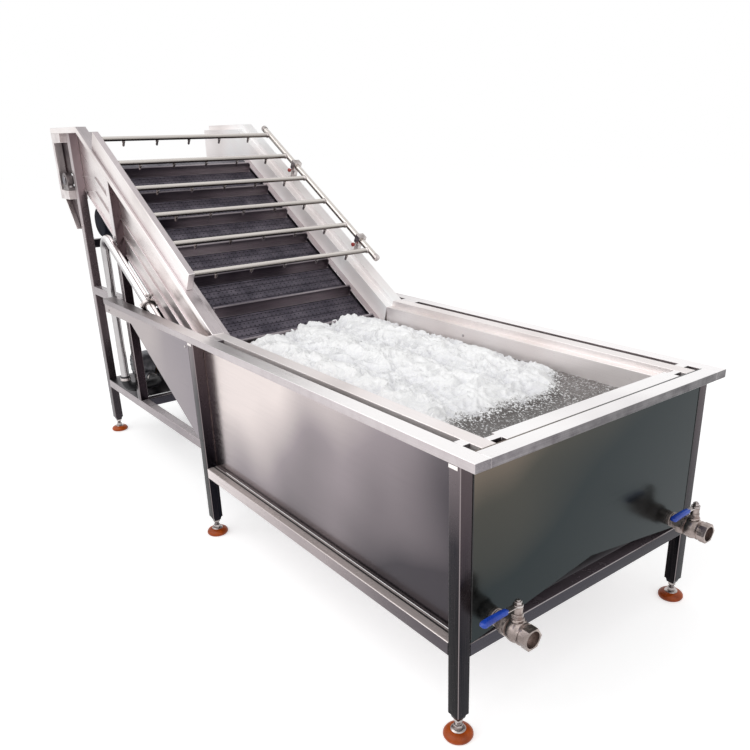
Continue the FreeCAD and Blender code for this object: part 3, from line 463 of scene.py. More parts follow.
# Painted shade: the trough under the belt gets dark tones for the shade there.
trough_sheet = satin_sheet("stainless_trough_sheet_painted_shade", "8d8587 5f595d 3f3b40", 0.34, CROSSWISE, wet=0.4)
head_sheet = head_frame_finish()
# The tube finishes below paint light and shade, each copy its own: lit and shaded faces, tones that run darker along
# the run (the legs towards the floor, the posts towards their foot, the rails towards the drain end or the far side),
# pale painted tops and painted corner highlights.
level_tube = square_tube_finish("lengthwise", "e2d8d7 a59b9c 544e53", "4a4448 3a353a 2a262b", 0.26, LENGTHWISE,
                                ((-1400.0, -500.0, 270.0), (-60.0, -500.0, 270.0)), top="cfc4c0", painted_corner_highlight="d9d0cf")
rear_level_tube = square_tube_finish("lengthwise_rear", "9c9396 8c8387 a0979a", "4a4448 3a353a 2a262b", 0.26,
                                     LENGTHWISE, ((-2300.0, -500.0, 270.0), (-1450.0, -500.0, 270.0)),
                                     top="aaa1a4", painted_corner_highlight="c9c0c2")
cross_tube = square_tube_finish("crosswise", "5b575e 4a464c 37333b", "45434a 3b3940 2b292f", 0.24, CROSSWISE,
                                ((0.0, -460.0, 270.0), (0.0, 460.0, 270.0)), top="6b6268", painted_corner_highlight="b9b2b3")
leg_tube = square_tube_finish("upright", "08090d 28262b 7d7376", "12131a 3a3338 5a5052", 0.24, UPRIGHT,
                              ((0.0, -500.0, 300.0), (0.0, -500.0, 860.0)))
tall_tube = square_tube_finish("upright_post", "3a363c a69d9f efe8e8", "1f1b21 40353a 5a4c4e", 0.24, UPRIGHT,
                               UP_THE_REAR)
rear_leg_tube = square_tube_finish("upright_rear", "4a464c a09799 bdb5b6", "2b262c 6b5e61 8a7a7d", 0.28, UPRIGHT,
                                   UP_THE_REAR, metal=0.6)
spray_tube = round_tube_finish("stainless_round_tube_crosswise", "d9d3ce", "5f5854", 0.22, CROSSWISE, 0.3)
air_tube = round_tube_finish("stainless_round_tube_polished", "f6f3f3", "4f4a4d", 0.14, (30.0, 30.0, 30.0), 0.06)
valve_steel = cast_steel("cast_stainless_valve_steel", "b3a6a1", "857a76", 0.30, 700.0)
fitting_steel = cast_steel("cast_stainless_fitting", "cfc8c6", "98908e", 0.22, 500.0)
bearing_steel = cast_steel("cast_stainless_bearing_housing", "8d8686", "6a6464", 0.38, 500.0)
bolt_steel = cast_steel("stainless_bolt_steel", "c9c3c2", "8f898a", 0.25, 900.0)
chain_steel = cast_steel("oiled_chain_steel", "5a544e", "322e2b", 0.35, 900.0)
belt_plate = wet_belt_plate()
pad_plastic = moulded("moulded_nylon_foot_orange", "b8500d", "8a3807", 0.30, 400.0, Specular_IOR_Level=0.3)
# Painted shadow: near-black strips for the gaps at the foot and ends of the walls.
gap_shadow_fill = moulded("black_painted_gap_shadow", "1b191b", "0f0e10", 0.5, 400.0)
motor_paint = moulded("gearmotor_paint_navy", "10131f", "090b14", 0.55, 500.0, Specular_IOR_Level=0.1)
blower_alloy = cast_steel("cast_aluminium_blower", "8f8f93", "5c5c61", 0.42, 350.0)
blower_bronze = moulded("blower_motor_paint_bronze", "8a6a4a", "5d4632", 0.35, 500.0, Metallic=0.6)
hose_rubber = moulded("black_rubber_hose", "1d1c20", "121115", 0.5, 600.0)
lever_vinyl = moulded("dipped_vinyl_blue", "1f4fc0", "15389a", 0.28, 300.0)
knob_plastic = moulded("moulded_knob_red", "b3453f", "8c2f2b", 0.35, 400.0)
water_finish = churned_water()


def body_for(node):
    for body, nodes in frame["record"]["behaviour"]["bodies"].items():
        if node in nodes:
            return body


def linked(name, data):
    """A new object in the scene."""
    made = bpy.data.objects.new(name, data)
    bpy.context.scene.collection.objects.link(made)
    return made


def place_piece(name, mesh, finish, body, smooth=35.0, edge=0.0):
    """Links a mesh as a piece that rides on a body, with softened edges."""
    mesh.materials.clear()
    mesh.materials.append(finish)
    mesh.shade_smooth()
    mesh.set_sharp_from_angle(angle=math.radians(smooth))
    made = linked(name, mesh)
    if edge:
        soft = made.modifiers.new("soft_edges", "BEVEL")
        soft.width = edge / 1000
        soft.segments = 2
        soft.limit_method = "ANGLE"
        soft.angle_limit = math.radians(35)
    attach(made, body)
    return made


def as_mesh(name, bm):
    """A finished bmesh as a mesh, with its faces turned outwards."""
    bmesh.ops.recalc_face_normals(bm, faces=bm.faces[:])
    mesh = bpy.data.meshes.new(name)
    bm.to_mesh(mesh)
    bm.free()
    return mesh


def piece(name, bm, finish, body="machine", smooth=35.0, edge=0.0):
    """A finished bmesh as a piece, with its doubles merged."""
    bmesh.ops.remove_doubles(bm, verts=bm.verts[:], dist=1e-7)
    return place_piece(name, as_mesh(name, bm), finish, body, smooth, edge)


def dressed(node, finish, edge=0.0, smooth=35.0):
    """The shape of a solid node, merged, with softened edges and its real finish."""
    bm = bmesh.new()
    bm.from_mesh(frame["nodes"][node].data)
    bmesh.ops.remove_doubles(bm, verts=bm.verts[:], dist=2e-5)
    bmesh.ops.dissolve_limit(bm, angle_limit=math.radians(0.3), verts=bm.verts[:], edges=bm.edges[:])
    bm.verts.index_update()
    points = [v.co.copy() for v in bm.verts]
    faces = [[v.index for v in f.verts] for f in bm.faces]
    bm.free()
    mesh = bpy.data.meshes.new(node + "_skin")
    mesh.from_pydata(points, [], faces)
    made = place_piece(node + "_skin", mesh, finish, body_for(node), smooth, edge)
    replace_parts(made, node)
    return made


def repeat_tree(name, on_path):
    """Geometry Nodes that set a piece out on given points, or along a closed path at a pitch."""
    tree = bpy.data.node_groups.new(name, "GeometryNodeTree")
    face = tree.interface
    face.new_socket("Geometry", in_out="INPUT", socket_type="NodeSocketGeometry")
    for label, kind in (("Piece", "Object"), ("Finish", "Material"), ("Count", "Int")):
        face.new_socket(label, in_out="INPUT", socket_type="NodeSocket" + kind)
    face.new_socket("Geometry", in_out="OUTPUT", socket_type="NodeSocketGeometry")
    given = add(tree, "NodeGroupInput", out=None)
    shape = add(tree, "GeometryNodeObjectInfo", {"Object": given["Piece"], "As Instance": True}, out="Geometry")
    if on_path:
        line = add(tree, "GeometryNodeMeshToCurve", {0: given["Geometry"]})
        points = add(tree, "GeometryNodeResampleCurve", {"Curve": line, "Count": given["Count"]})
        along = add(tree, "SeparateXYZ", {0: add(tree, "GeometryNodeInputTangent")}, out=None)
        angle = add(tree, "Math", {0: along["Z"], 1: along["X"]}, operation="ARCTAN2")
        back = add(tree, "Math", {0: angle, 1: -1.0}, operation="MULTIPLY")
        turn = add(tree, "CombineXYZ", {"Y": back})
    else:
        points = given["Geometry"]
        turn = add(tree, "GeometryNodeInputNamedAttribute", {"Name": "turn"}, data_type="FLOAT_VECTOR")
    spin = add(tree, "FunctionNodeEulerToRotation", {0: turn})
    laid = add(tree, "GeometryNodeInstanceOnPoints", {"Points": points, "Instance": shape, "Rotation": spin})
    whole = add(tree, "GeometryNodeRealizeInstances", {0: laid})
    done = add(tree, "GeometryNodeSetMaterial", {"Geometry": whole, "Material": given["Finish"]})
    add(tree, "NodeGroupOutput", {0: done}, out=None)
    return tree


on_points_tree = repeat_tree("pieces_on_points", False)
on_path_tree = repeat_tree("pieces_along_a_path", True)


def carried_out(name, carrier, tree, unit, finish, count=1, smooth=35.0):
    """Runs a repeat tree once and keeps its result as a plain mesh."""
    holder, stock = linked(name + "_carrier", carrier), linked(name + "_unit", unit)
    step = holder.modifiers.new("repeat", "NODES")
    step.node_group = tree
    values = {"Piece": stock, "Finish": finish, "Count": count}
    for socket in tree.interface.items_tree:
        if socket.in_out == "INPUT" and socket.name in values:
            step[socket.identifier] = values[socket.name]
    bpy.context.view_layer.update()
    ready = holder.evaluated_get(bpy.context.evaluated_depsgraph_get())
    mesh = bpy.data.meshes.new_from_object(ready)
    mesh.name = name
    bpy.data.objects.remove(holder)
    bpy.data.objects.remove(stock)
    return place_piece(name, mesh, finish, "machine", smooth)


def set_out(name, spots, unit, finish, smooth=35.0):
    """Sets a small piece out on spots, each a point and the direction that its local Z looks along."""
    carrier = bpy.data.meshes.new(name + "_spots")
    carrier.from_pydata([spot for spot, axis in spots], [], [])
    turn = carrier.attributes.new("turn", "FLOAT_VECTOR", "POINT")
    for i, (spot, axis) in enumerate(spots):
        turn.data[i].vector = Vector(axis).normalized().to_track_quat("Z", "Y").to_euler()
    return carried_out(name, carrier, on_points_tree, unit, finish, smooth=smooth)


def set_along(name, line, y, unit, finish, count):
    """Sets a piece out along a closed side-view path."""
    carrier = bpy.data.meshes.new(name + "_path")
    points = [at(x, y, z) for x, z in line]
    carrier.from_pydata(points, [(i, (i + 1) % len(points)) for i in range(len(points))], [])
    return carried_out(name, carrier, on_path_tree, unit, finish, count=count)


def unit_mesh(name, build):
    """A small mesh about the origin, for a repeat tree."""
    bm = bmesh.new()
    build(bm)
    return as_mesh(name, bm)


def hex_bolt_head(bm):
    """M10 hexagon head, 17 mm across flats, on its washer."""
    add_turned(bm, [(0, 0), (11, 0), (11, 1.8), (0, 1.8)], Matrix(), steps=16)
    add_turned(bm, [(0, 1.8), (9.6, 1.8), (9.8, 2.6), (9.8, 7.4), (8.8, 8.4), (0, 8.4)], Matrix(), flats=6)


def pan_screw_head(bm):
    """M5 pan head."""
    add_turned(bm, [(0, -0.5), (5, -0.5), (5, 1.2), (3.6, 2.6), (0, 3.0)], Matrix(), steps=14)


def nozzle_tip(bm):
    """Hexagon collar and tapered tip of a flat-fan nozzle."""
    add_turned(bm, [(0, 11), (6.2, 11), (7.0, 12), (7.0, 18), (6.2, 19), (0, 19)], Matrix(), flats=6)
    add_turned(bm, [(0, 24), (5.2, 24), (5.2, 31), (3.4, 35.5), (0, 35.5)], Matrix(), steps=14)


def belt_link(bm):
    """One hinged plate of the belt with its rolled edges and cross rod, as long as the pitch."""
    half = BELT_HALF / 1000
    spread = bm.verts.layers.float_vector.new("plate")
    add_block(bm, (-0.0150, -half, 0.0012), (0.0150, half, 0.0036))
    length = 2 * half / 12 * 1000 - 2.4
    for i in range(-6, 6):
        spot = Matrix.Translation((0.0190 if i % 2 else -0.0190, i * 2 * half / 12 + 0.0012, 0))
        knuckle = [(0, 0), (3.9, 0), (3.9, length), (0, length)]
        add_turned(bm, knuckle, spot @ Matrix.Rotation(-math.pi / 2, 4, "X"), steps=8)
    for v in bm.verts:
        v[spread] = (v.co.x + 0.019, v.co.y + 0.4, 0)


def chain_link(bm):
    """Roller and two side plates of a half-inch chain."""
    add_turned(bm, [(0, -3.2), (4.2, -3.2), (4.2, 3.2), (0, 3.2)], Matrix.Rotation(math.pi / 2, 4, "X"), steps=10)
    for y in (-0.0052, 0.0037):
        outline = []
        for i in range(10):
            angle = 2 * math.pi * i / 10
            outline.append((math.cos(angle) * 0.0085, y, math.sin(angle) * 0.0052))
        add_between(bm, outline, [(p[0], p[1] + 0.0015, p[2]) for p in outline])


def belt_line(radius):
    """Closed side-view line of the belt at a radius on its drums, down the carrying run first."""
    depth = BELT_DEPTH + WHEEL
    hx, hz = HEAD_SHAFT
    cx, cz = on_slope(-215.0, depth)
    line = [(hx, hz + radius), (slope_station(hz + radius, depth - radius), hz + radius)]
    for i in range(13):
        angle = math.pi * i / 12
        up, ahead = math.cos(angle) * radius, math.sin(angle) * radius
        line.append((cx + up * math.sin(INCLINE) + ahead * math.cos(INCLINE),
                     cz + up * math.cos(INCLINE) - ahead * math.sin(INCLINE)))
    line.append((slope_station(hz - radius, depth + radius), hz - radius))
    for i in range(12):
        angle = math.pi * i / 12
        line.append((hx - math.sin(angle) * radius, hz - math.cos(angle) * radius))
    return line


def chain_line():
    """Closed side-view line of the drive chain at its pitch circles."""
    (ax, az), (bx, bz) = HEAD_SHAFT, MOTOR_SHAFT
    ra, rb = HEAD_WHEEL, MOTOR_WHEEL
    heading = math.atan2(bz - az, bx - ax)
    swing = math.acos((ra - rb) / math.hypot(bx - ax, bz - az))
    line = []
    for i in range(17):
        angle = heading + swing + (2 * math.pi - 2 * swing) * i / 16
        line.append((ax + ra * math.cos(angle), az + ra * math.sin(angle)))
    for i in range(17):
        angle = heading - swing + 2 * swing * i / 16
        line.append((bx + rb * math.cos(angle), bz + rb * math.sin(angle)))
    return line


def make_belt():
    """Hinged plate belt with its cross flights."""
    unit = unit_mesh("belt_link", belt_link)
    belt = set_along("belt_plates", belt_line(61.0), 0.0, unit, belt_plate, 104)
    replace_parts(belt, "belt")
    bm = bmesh.new()
    back = BELT_DEPTH + 2 * WHEEL
    for index in range(8):
        along = index * 190.0 - 175.0
        for base, out in ((BELT_DEPTH, -1), (back, 1)):
            top = base + out * 36
            bar_on_slope(bm, along, along + 2.5, top, base, -FLIGHT_HALF, FLIGHT_HALF)
            bar_on_slope(bm, along - 1.5, along + 7, top, top - out * 3, -FLIGHT_HALF, FLIGHT_HALF)
            bar_on_slope(bm, along - 22, along + 1, base + out * 2.2, base + out * 0.2, -FLIGHT_HALF, FLIGHT_HALF)
            for y in (-FLIGHT_HALF, FLIGHT_HALF - 2.5):
                bar_on_slope(bm, along - 12, along + 1, top - out * 2, base, y, y + 2.5)
    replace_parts(piece("belt_flights", bm, flight_sheet, edge=0.6), "belt")


def make_drive():
    """Chain links and toothed rims of the two sprockets."""
    links = set_along("drive_chain_links", chain_line(), 446.0, unit_mesh("chain_link", chain_link), chain_steel,
                      70)
    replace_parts(links, "drive_chain")
    bm = bmesh.new()
    for (x, z), radius, teeth in ((HEAD_SHAFT, HEAD_WHEEL, 32), (MOTOR_SHAFT, MOTOR_WHEEL, 25)):
        outline = []
        for i in range(teeth * 4):
            step = i % 4
            reach = radius + (3.6 if step in (1, 2) else -4.4)
            angle = 2 * math.pi * (i + (0.25 if step == 1 else -0.25 if step == 2 else 0)) / (teeth * 4)
            outline.append((x + reach * math.cos(angle), z + reach * math.sin(angle)))
        add_prism(bm, outline, 443.2, 448.8)
    piece("sprocket_teeth", bm, chain_steel)


def make_feet():
    """Levelling feet: domed pads, cup washers, lock nuts and threads."""
    pads, metal = bmesh.new(), bmesh.new()
    dome = [(0, 0), (33, 0), (37.5, 1.6), (40, 6.5), (39.6, 11), (36.5, 16), (30, 20.2), (21, 23),
            (14, 23.6), (0, 23.6)]
    ring = [(0, 22), (20, 22), (20.5, 23.6), (18, 26), (13, 27.5), (0, 27.5)]
    nut = [(0, 27.5), (12.4, 27.5), (13, 28.4), (13, 36.5), (12.4, 37.5), (0, 37.5)]
    lock = [(0, 49.5), (12.4, 49.5), (13, 50.4), (13, 56), (12.4, 57.2), (0, 57.2)]
    thread = [(0, 37)]
    for i in range(7):
        thread += [(8.6, 37.2 + i * 1.75), (7.4, 38.0 + i * 1.75)]
    thread.append((0, 49.6))
    for face, y in ((0.0, 480.0), (-1388.0, 480.0), (REAR_LEG_X, 379.0)):
        for side in (-1, 1):
            spot = Matrix.Translation(at(face - 20, y * side, 0))
            add_turned(pads, dome, spot, steps=40)
            add_turned(metal, ring, spot, steps=32)
            add_turned(metal, nut, spot, flats=6)
            add_turned(metal, lock, spot, flats=6)
            add_turned(metal, thread, spot, steps=18)
    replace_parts(piece("foot_pads", pads, pad_plastic, smooth=50), "levelling_feet")
    piece("foot_nuts", metal, fitting_steel, smooth=28)


def make_valve(side, body, node):
    """Gland, seams and lever of one drain valve. The lever is a pressed strip in a vinyl sleeve."""
    y = VALVE_Y * side
    fixed, strip, sleeve = bmesh.new(), bmesh.new(), bmesh.new()
    spot = Matrix.Translation(at(VALVE_X, y, 0))
    add_turned(fixed, [(0, 366), (17, 366), (17, 371), (15, 372.5), (0, 372.5)], spot, steps=28)
    add_turned(fixed, [(0, 372), (14.6, 372), (15.4, 373), (15.4, 382), (14.6, 383), (0, 383)], spot, flats=6)
    add_turned(fixed, [(0, 383), (13.5, 383), (13.5, 386), (9, 387), (9, 398), (12.5, 399), (12.5, 403),
                       (0, 403)], spot)
    pipe = facing(at(0, y, 336), (1, 0, 0))
    for x in (56.0, 98.0):
        add_turned(fixed, [(26, x), (29.2, x + 0.6), (29.2, x + 4.4), (26, x + 5)], pipe, steps=36)
    for i in range(4):
        add_turned(fixed, [(21.5, 8 + i * 5.2), (22.9, 9.6 + i * 5.2), (21.5, 11.2 + i * 5.2)], pipe, steps=32)
    piece("valve_gland_" + body, fixed, valve_steel, smooth=28)
    add_block(strip, at(VALVE_X - 8, y - 118, 406.4), at(VALVE_X + 8, y + 2, 409.2))
    add_turned(strip, [(0, 405.6), (13, 405.6), (13, 410.4), (0, 410.4)], spot, steps=28)
    add_turned(strip, [(0, 410.4), (9.2, 410.4), (9.9, 411.2), (9.9, 417.5), (9.2, 418.4), (0, 418.4)], spot, flats=6)
    add_turned(strip, [(0, 418), (5.4, 418), (5.4, 421.6), (4.6, 422.4), (0, 422.4)], spot, steps=16)
    blade = piece("lever_strip_" + body, strip, fitting_steel, body, smooth=28, edge=0.5)
    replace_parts(blade, node)
    # Sleeve: a rounded channel, wider at its free end.
    rows = 14
    section = [(-1.0, -0.55), (-0.93, 0.5), (-0.7, 0.95), (0.0, 1.0), (0.7, 0.95), (0.93, 0.5),
               (1.0, -0.55), (0.86, -1.0), (0.0, -0.7), (-0.86, -1.0)]
    rings = []
    for i in range(rows + 1):
        share = i / rows
        from_end = min(1.0, min(share, 1 - share) / 0.07)
        end = math.sqrt(max(0.0, 1 - (1 - from_end) ** 2))
        width = (8.8 + 2.4 * share) * (0.35 + 0.65 * end)
        height = (6.0 + 0.8 * share) * (0.35 + 0.65 * end)
        middle = 407.2 + 1.2 * math.sin(share * math.pi) - 3.0 * share * share
        along = y - 34 - 90 * share
        rings.append([sleeve.verts.new(at(VALVE_X + a * width, along, middle + b * height)) for a, b in section])
    for low, high in zip(rings, rings[1:]):
        for i in range(len(section)):
            j = (i + 1) % len(section)
            sleeve.faces.new((low[i], low[j], high[j], high[i]))
    sleeve.faces.new(rings[0])
    sleeve.faces.new(rings[-1][::-1])
    made = piece("lever_sleeve_" + body, sleeve, lever_vinyl, body, smooth=50)
    round_off = made.modifiers.new("rounded", "SUBSURF")
    round_off.levels = 1
    round_off.render_levels = 1


def make_spray_details():
    """Nozzle tips, weld rings at the manifold, its caps, and the clamp bolts on its two brackets."""
    spots = []
    for index in range(6):
        x, z = on_slope(SPRAY_FIRST + index * SPRAY_PITCH, -SPRAY_HEIGHT)
        for share in (-1.0, -0.5, 0.0, 0.5, 1.0):
            spots.append((at(x, share * (WEB - 60), z), (-math.sin(INCLINE), 0, -math.cos(INCLINE))))
    set_out("spray_nozzle_tips", spots, unit_mesh("nozzle_tip", nozzle_tip), fitting_steel, smooth=28)
    bm = bmesh.new()
    for index in range(6):
        x, z = on_slope(SPRAY_FIRST + index * SPRAY_PITCH, -SPRAY_HEIGHT)
        ring = [(10.0, 0), (12.2, 1.5), (13.2, 4.5), (13.2, 7), (10.0, 9)]
        add_turned(bm, ring, facing(at(x, MANIFOLD - 20, z), (0, 1, 0)), steps=28)
        plug = [(0, 0), (10.6, 0), (10.6, 2.6), (9.2, 3.4), (0, 3.4)]
        add_turned(bm, plug, facing(at(x, -395.2, z), (0, 1, 0)), steps=28)
    slope = (-math.cos(INCLINE), 0, math.sin(INCLINE))
    for along, direction in ((SPRAY_FIRST - 59.5, -1), (SPRAY_FIRST + 5 * SPRAY_PITCH + 59.5, 1)):
        x, z = on_slope(along, -SPRAY_HEIGHT)
        cap = [(14.4, -16), (14.6, -15), (14.6, 0), (13.4, 3.4), (8.5, 6.2), (0, 7)]
        add_turned(bm, cap, facing(at(x, MANIFOLD, z), [direction * a for a in slope]), steps=30)
    piece("manifold_caps", bm, fitting_steel, smooth=40)
    metal, knobs = bmesh.new(), bmesh.new()
    for along in (SPRAY_FIRST + 0.35 * SPRAY_PITCH + 12, SPRAY_FIRST + 3.5 * SPRAY_PITCH + 12):
        x, z = on_slope(along, -SPRAY_HEIGHT + 24)
        add_turned(metal, [(0, -26), (3, -26), (3, 26), (0, 26)], facing(at(x, MANIFOLD, z), (0, 1, 0)), steps=14)
        for sign in (-1, 1):
            stand = facing(at(x, MANIFOLD + sign * 20, z), (0, sign, 0))
            add_turned(metal, [(0, 0), (7.4, 0), (7.4, 5), (0, 5)], stand, flats=6)
            target = knobs if sign < 0 else metal
            add_turned(target, [(0, 5), (7, 5.4), (8.6, 8), (8.6, 13), (7, 16), (0, 17)], stand, steps=20)
    piece("bracket_bolts", metal, fitting_steel, smooth=30)
    piece("bracket_knobs", knobs, knob_plastic, smooth=50)


def make_air_details():
    """Band clamps on the hose, the wing nut of the ring clamp, and ribs on the blower."""
    metal = bmesh.new()
    band = [(22.4, -6), (23.6, -6), (23.6, 6), (22.4, 6)]
    add_turned(metal, band, Matrix.Translation(at(RISER_X, AIR_PIPE_Y, 386)), steps=32)
    add_turned(metal, band, facing(at(HEAD_REAR_X + 444, -270, 337), (1, 0, 0)), steps=32)
    slope = (-math.cos(INCLINE), 0, math.sin(INCLINE))
    top_z = slope_height(RISER_X, 298.4)
    x = RISER_X + 520 * math.cos(INCLINE)
    z = top_z - 520 * math.sin(INCLINE)
    ring = [(19.2, -11), (24, -11), (27.5, -8.6), (30.4, -7.5), (30.4, 7.5), (27.5, 8.6), (24, 11), (19.2, 11)]
    add_turned(metal, ring, facing(at(x, AIR_PIPE_Y, z), slope), steps=36)
    out = Vector((math.sin(INCLINE), 0, math.cos(INCLINE)))
    knuckle = at(x, AIR_PIPE_Y, z) + out * 0.044
    add_turned(metal, [(0, -9), (7, -9), (7.6, -7), (7.6, 6), (5.5, 9), (0, 9)], facing(knuckle, out), steps=18)
    for sign in (-1, 1):
        wing = facing(knuckle, (0, sign, 0.45))
        add_turned(metal, [(0, 4), (4.2, 4), (5.4, 11), (4.8, 17), (2.2, 20), (0, 20)], wing, steps=12)
        hinge = at(x, AIR_PIPE_Y + sign * 31, z)
        add_turned(metal, [(0, -9), (5.4, -9), (5.4, 9), (0, 9)], facing(hinge, slope), steps=14)
    piece("ring_clamp_and_bands", metal, fitting_steel, smooth=35)
    dressed("blower", blower_alloy, edge=1.5)
    ribs = bmesh.new()
    for i in range(18):
        angle = math.radians(20 * i)
        arm = Matrix.Translation(at(BLOWER_X, -305, 371)) @ Matrix.Rotation(angle, 4, "Y")
        start = len(ribs.verts)
        add_block(ribs, (0.030, -0.0035, -0.0018), (0.073, 0.0005, 0.0018))
        ribs.verts.ensure_lookup_table()
        for v in ribs.verts[start:]:
            v.co = arm @ v.co
    piece("blower_ribs", ribs, blower_alloy)
    barrel = bmesh.new()
    axis = facing(at(BLOWER_X, 0, 371), (0, 1, 0))
    for i in range(11):
        y = -222 + i * 13
        add_turned(barrel, [(52.2, y), (57.5, y + 0.6), (57.5, y + 3.4), (52.2, y + 4)], axis, steps=40)
    add_turned(barrel, [(52.2, -75), (55.5, -75), (55.5, -40), (50, -36), (0, -36)], axis, steps=40)
    piece("blower_motor_fins", barrel, blower_bronze)


def make_motor_details():
    """Fan cowl and cooling fins of the gearmotor, and its wiring box."""
    bm = bmesh.new()
    mx, mz = MOTOR_SHAFT
    axis = facing(at(mx, 0, mz), (0, 1, 0))
    for i in range(15):
        y = -222 + i * 13
        add_turned(bm, [(66.1, y), (70, y + 0.8), (70, y + 3.2), (66.1, y + 4)], axis, steps=44)
    add_turned(bm, [(0, -352), (58, -352), (67, -347), (70.5, -338), (70.5, -286), (66.1, -286)], axis, steps=44)
    add_block(bm, at(mx - 40, -333, mz + 91), at(mx + 40, -229, mz + 99.5))
    leg = HEAD_REAR_X + 168
    bracket = [(leg, mz - 86), (mx, mz - 86), (mx, mz + 80), (mx - 30, mz + 104), (leg, mz + 104)]
    add_prism(bm, bracket, -306, -298)
    piece("gearmotor_fins", bm, motor_paint, edge=0.8)


def make_sheet_details():
    """Folded beads and hems on the elevator's sides, screws and bolts."""
    bm = bmesh.new()
    for (y0, y1), (y2, y3) in zip(both_sides(WEB, WEB + 7), both_sides(WEB, WEB + 9)):
        for depth in BEAD_DEPTHS:
            strip_up_incline(bm, depth - 2.0, depth + 2.0, y0, y1)
        first = -WEB_DEPTH * math.tan(INCLINE / 2)
        hem = [on_slope(first, WEB_DEPTH - 2.5), (REAR_LEG_X, slope_height(REAR_LEG_X, WEB_DEPTH - 2.5)),
               (REAR_LEG_X, slope_height(REAR_LEG_X, WEB_DEPTH)), on_slope(first, WEB_DEPTH)]
        add_prism(bm, hem, y2, y3)
    piece("elevator_side_beads", bm, slope_sheet, edge=0.6)
    # A dark strip closes the gap between the ridge of the tank floor and the cross rail, as painted shadow for the
    # shade under the tank.
    bm = bmesh.new()
    rail, ridge, half = RAIL_TOP, 355.0, 456.0
    strip = [(-half, rail - 39), (half, rail - 39), (half, rail + 0.4), (0.0, ridge - 0.3), (-half, rail + 0.4)]
    add_between(bm, [at(-60, y, z) for y, z in strip], [at(-62, y, z) for y, z in strip])
    piece("tank_floor_end_strip", bm, under_sheet)
    bm = bmesh.new()
    for face in (0.0, -1388.0):
        for y0, y1 in both_sides(500.0, 502.0):
            add_block(bm, at(face - 38, y0, 763), at(face - 8, y1, 773))
    piece("leg_top_plates", bm, slope_sheet, edge=0.6)
    # Dark strips in the joints where the walls stand on the rails and against the legs, as painted shadow in these
    # gaps.
    bm = bmesh.new()
    for (y0, y1), (y2, y3) in zip(both_sides(471.0, 475.0), both_sides(458.0, 461.0)):
        add_block(bm, at(-1386, y0, RAIL_TOP - 0.5), at(-41, y1, RAIL_TOP + 2.5))
        add_block(bm, at(-2.0, y2, 300), at(1.0, y3, 760))
    piece("wall_seams", bm, gap_shadow_fill)
    heads = []
    for sign in (-1, 1):
        for x in (-1452.0, -2262.0):
            heads.append((at(x, sign * 500.2, 752), (0, sign, 0)))
        heads.append((at(-330.0, sign * 356.0, 690), (0, -sign, 0)))
        heads.append((at(-900.0, sign * 356.0, 745), (0, -sign, 0)))
    set_out("cover_screws", heads, unit_mesh("pan_screw", pan_screw_head), bolt_steel)
    bolts = []
    hx, hz = HEAD_SHAFT
    for sign in (-1, 1):
        for dx in (-36.0, 36.0):
            bolts.append((at(hx + dx, sign * 412, 1244), (0, 0, 1)))
    for dx in (-50.0, 50.0):
        for y in (2.0, 88.0):
            bolts.append((at(MOTOR_SHAFT[0] + dx, y, 1012), (0, 0, 1)))
    for dx in (-60.0, 60.0):
        for y in (-270.0, -100.0):
            bolts.append((at(BLOWER_X + dx, y, 301), (0, 0, 1)))
    set_out("hex_bolts", bolts, unit_mesh("hex_bolt", hex_bolt_head), bolt_steel, smooth=28)


def make_water():
    """Surface of the water. Air from the pipes below throws it up in three rows of white foam."""
    columns, rows = 420, 215
    x0, x1, y0, y1 = -1425.0, -59.0, -355.0, 355.0
    points, foams, hollow_shades = [], [], []
    for i in range(columns + 1):
        for j in range(rows + 1):
            x = x0 + (x1 - x0) * i / columns
            y = y0 + (y1 - y0) * j / rows
            spot = Vector((x / 1000, y / 1000, 0.0))
            warp = noise.noise(spot * 2.3) * 60 + noise.noise(spot * 7.0) * 45
            front = min(1.0, max(0.0, (-225 - 0.0016 * max(0.0, y) ** 2 + warp - x) / 110))
            rear = min(1.0, max(0.0, (x + 1420 + 0.3 * (y + 250) + 0.4 * warp) / 60))
            far = min(1.0, max(0.0, (352 + 0.25 * warp - 0.02 * (x + 1300) - y) / 35))
            power = front * rear * far
            ridge = sum(math.exp(-((y - row - warp * 0.8) / 70) ** 2) for row in (-240, -20, 195))
            bulk = 0.5 + 0.5 * noise.noise(spot * 6.0 + Vector((4, 0, 2)))
            pull = spot + Vector((noise.noise(spot * 11), noise.noise(spot * 11 + Vector((9, 9, 9))), 0)) * 0.05
            crest = 1.0 - abs(noise.noise(pull * 17.0 + Vector((3, 1, 7)))) * 2.2
            spray = 1.0 - abs(noise.noise(pull * 43.0 + Vector((1, 5, 3)))) * 2.2
            ripple = noise.noise(spot * 28) * 2.4 + noise.noise(spot * 61) * 1.3
            lift = 30 * ridge * (0.35 + bulk) + 17 * crest + 11 * spray
            points.append(at(x, y, WATER + ripple + power * min(lift, 56.0)))
            foams.append(power * (0.85 + 0.15 * ridge) + 0.08)
            # Painted shade: the foam is given more grey where it lies below its ridges, crests and spray.
            hollow_shades.append(0.56 - 0.34 * ridge - 0.20 * crest - 0.16 * spray)
    faces = []
    step = rows + 1
    for i in range(columns):
        for j in range(rows):
            a = i * step + j
            faces.append((a, a + step, a + step + 1, a + 1))
    mesh = bpy.data.meshes.new("water_surface")
    mesh.from_pydata(points, [], faces)
    for name, values in (("foam", foams), ("hollow_shade", hollow_shades)):
        mesh.attributes.new(name, "FLOAT", "POINT").data.foreach_set("value", values)
    place_piece("water_surface", mesh, water_finish, "machine", smooth=180)


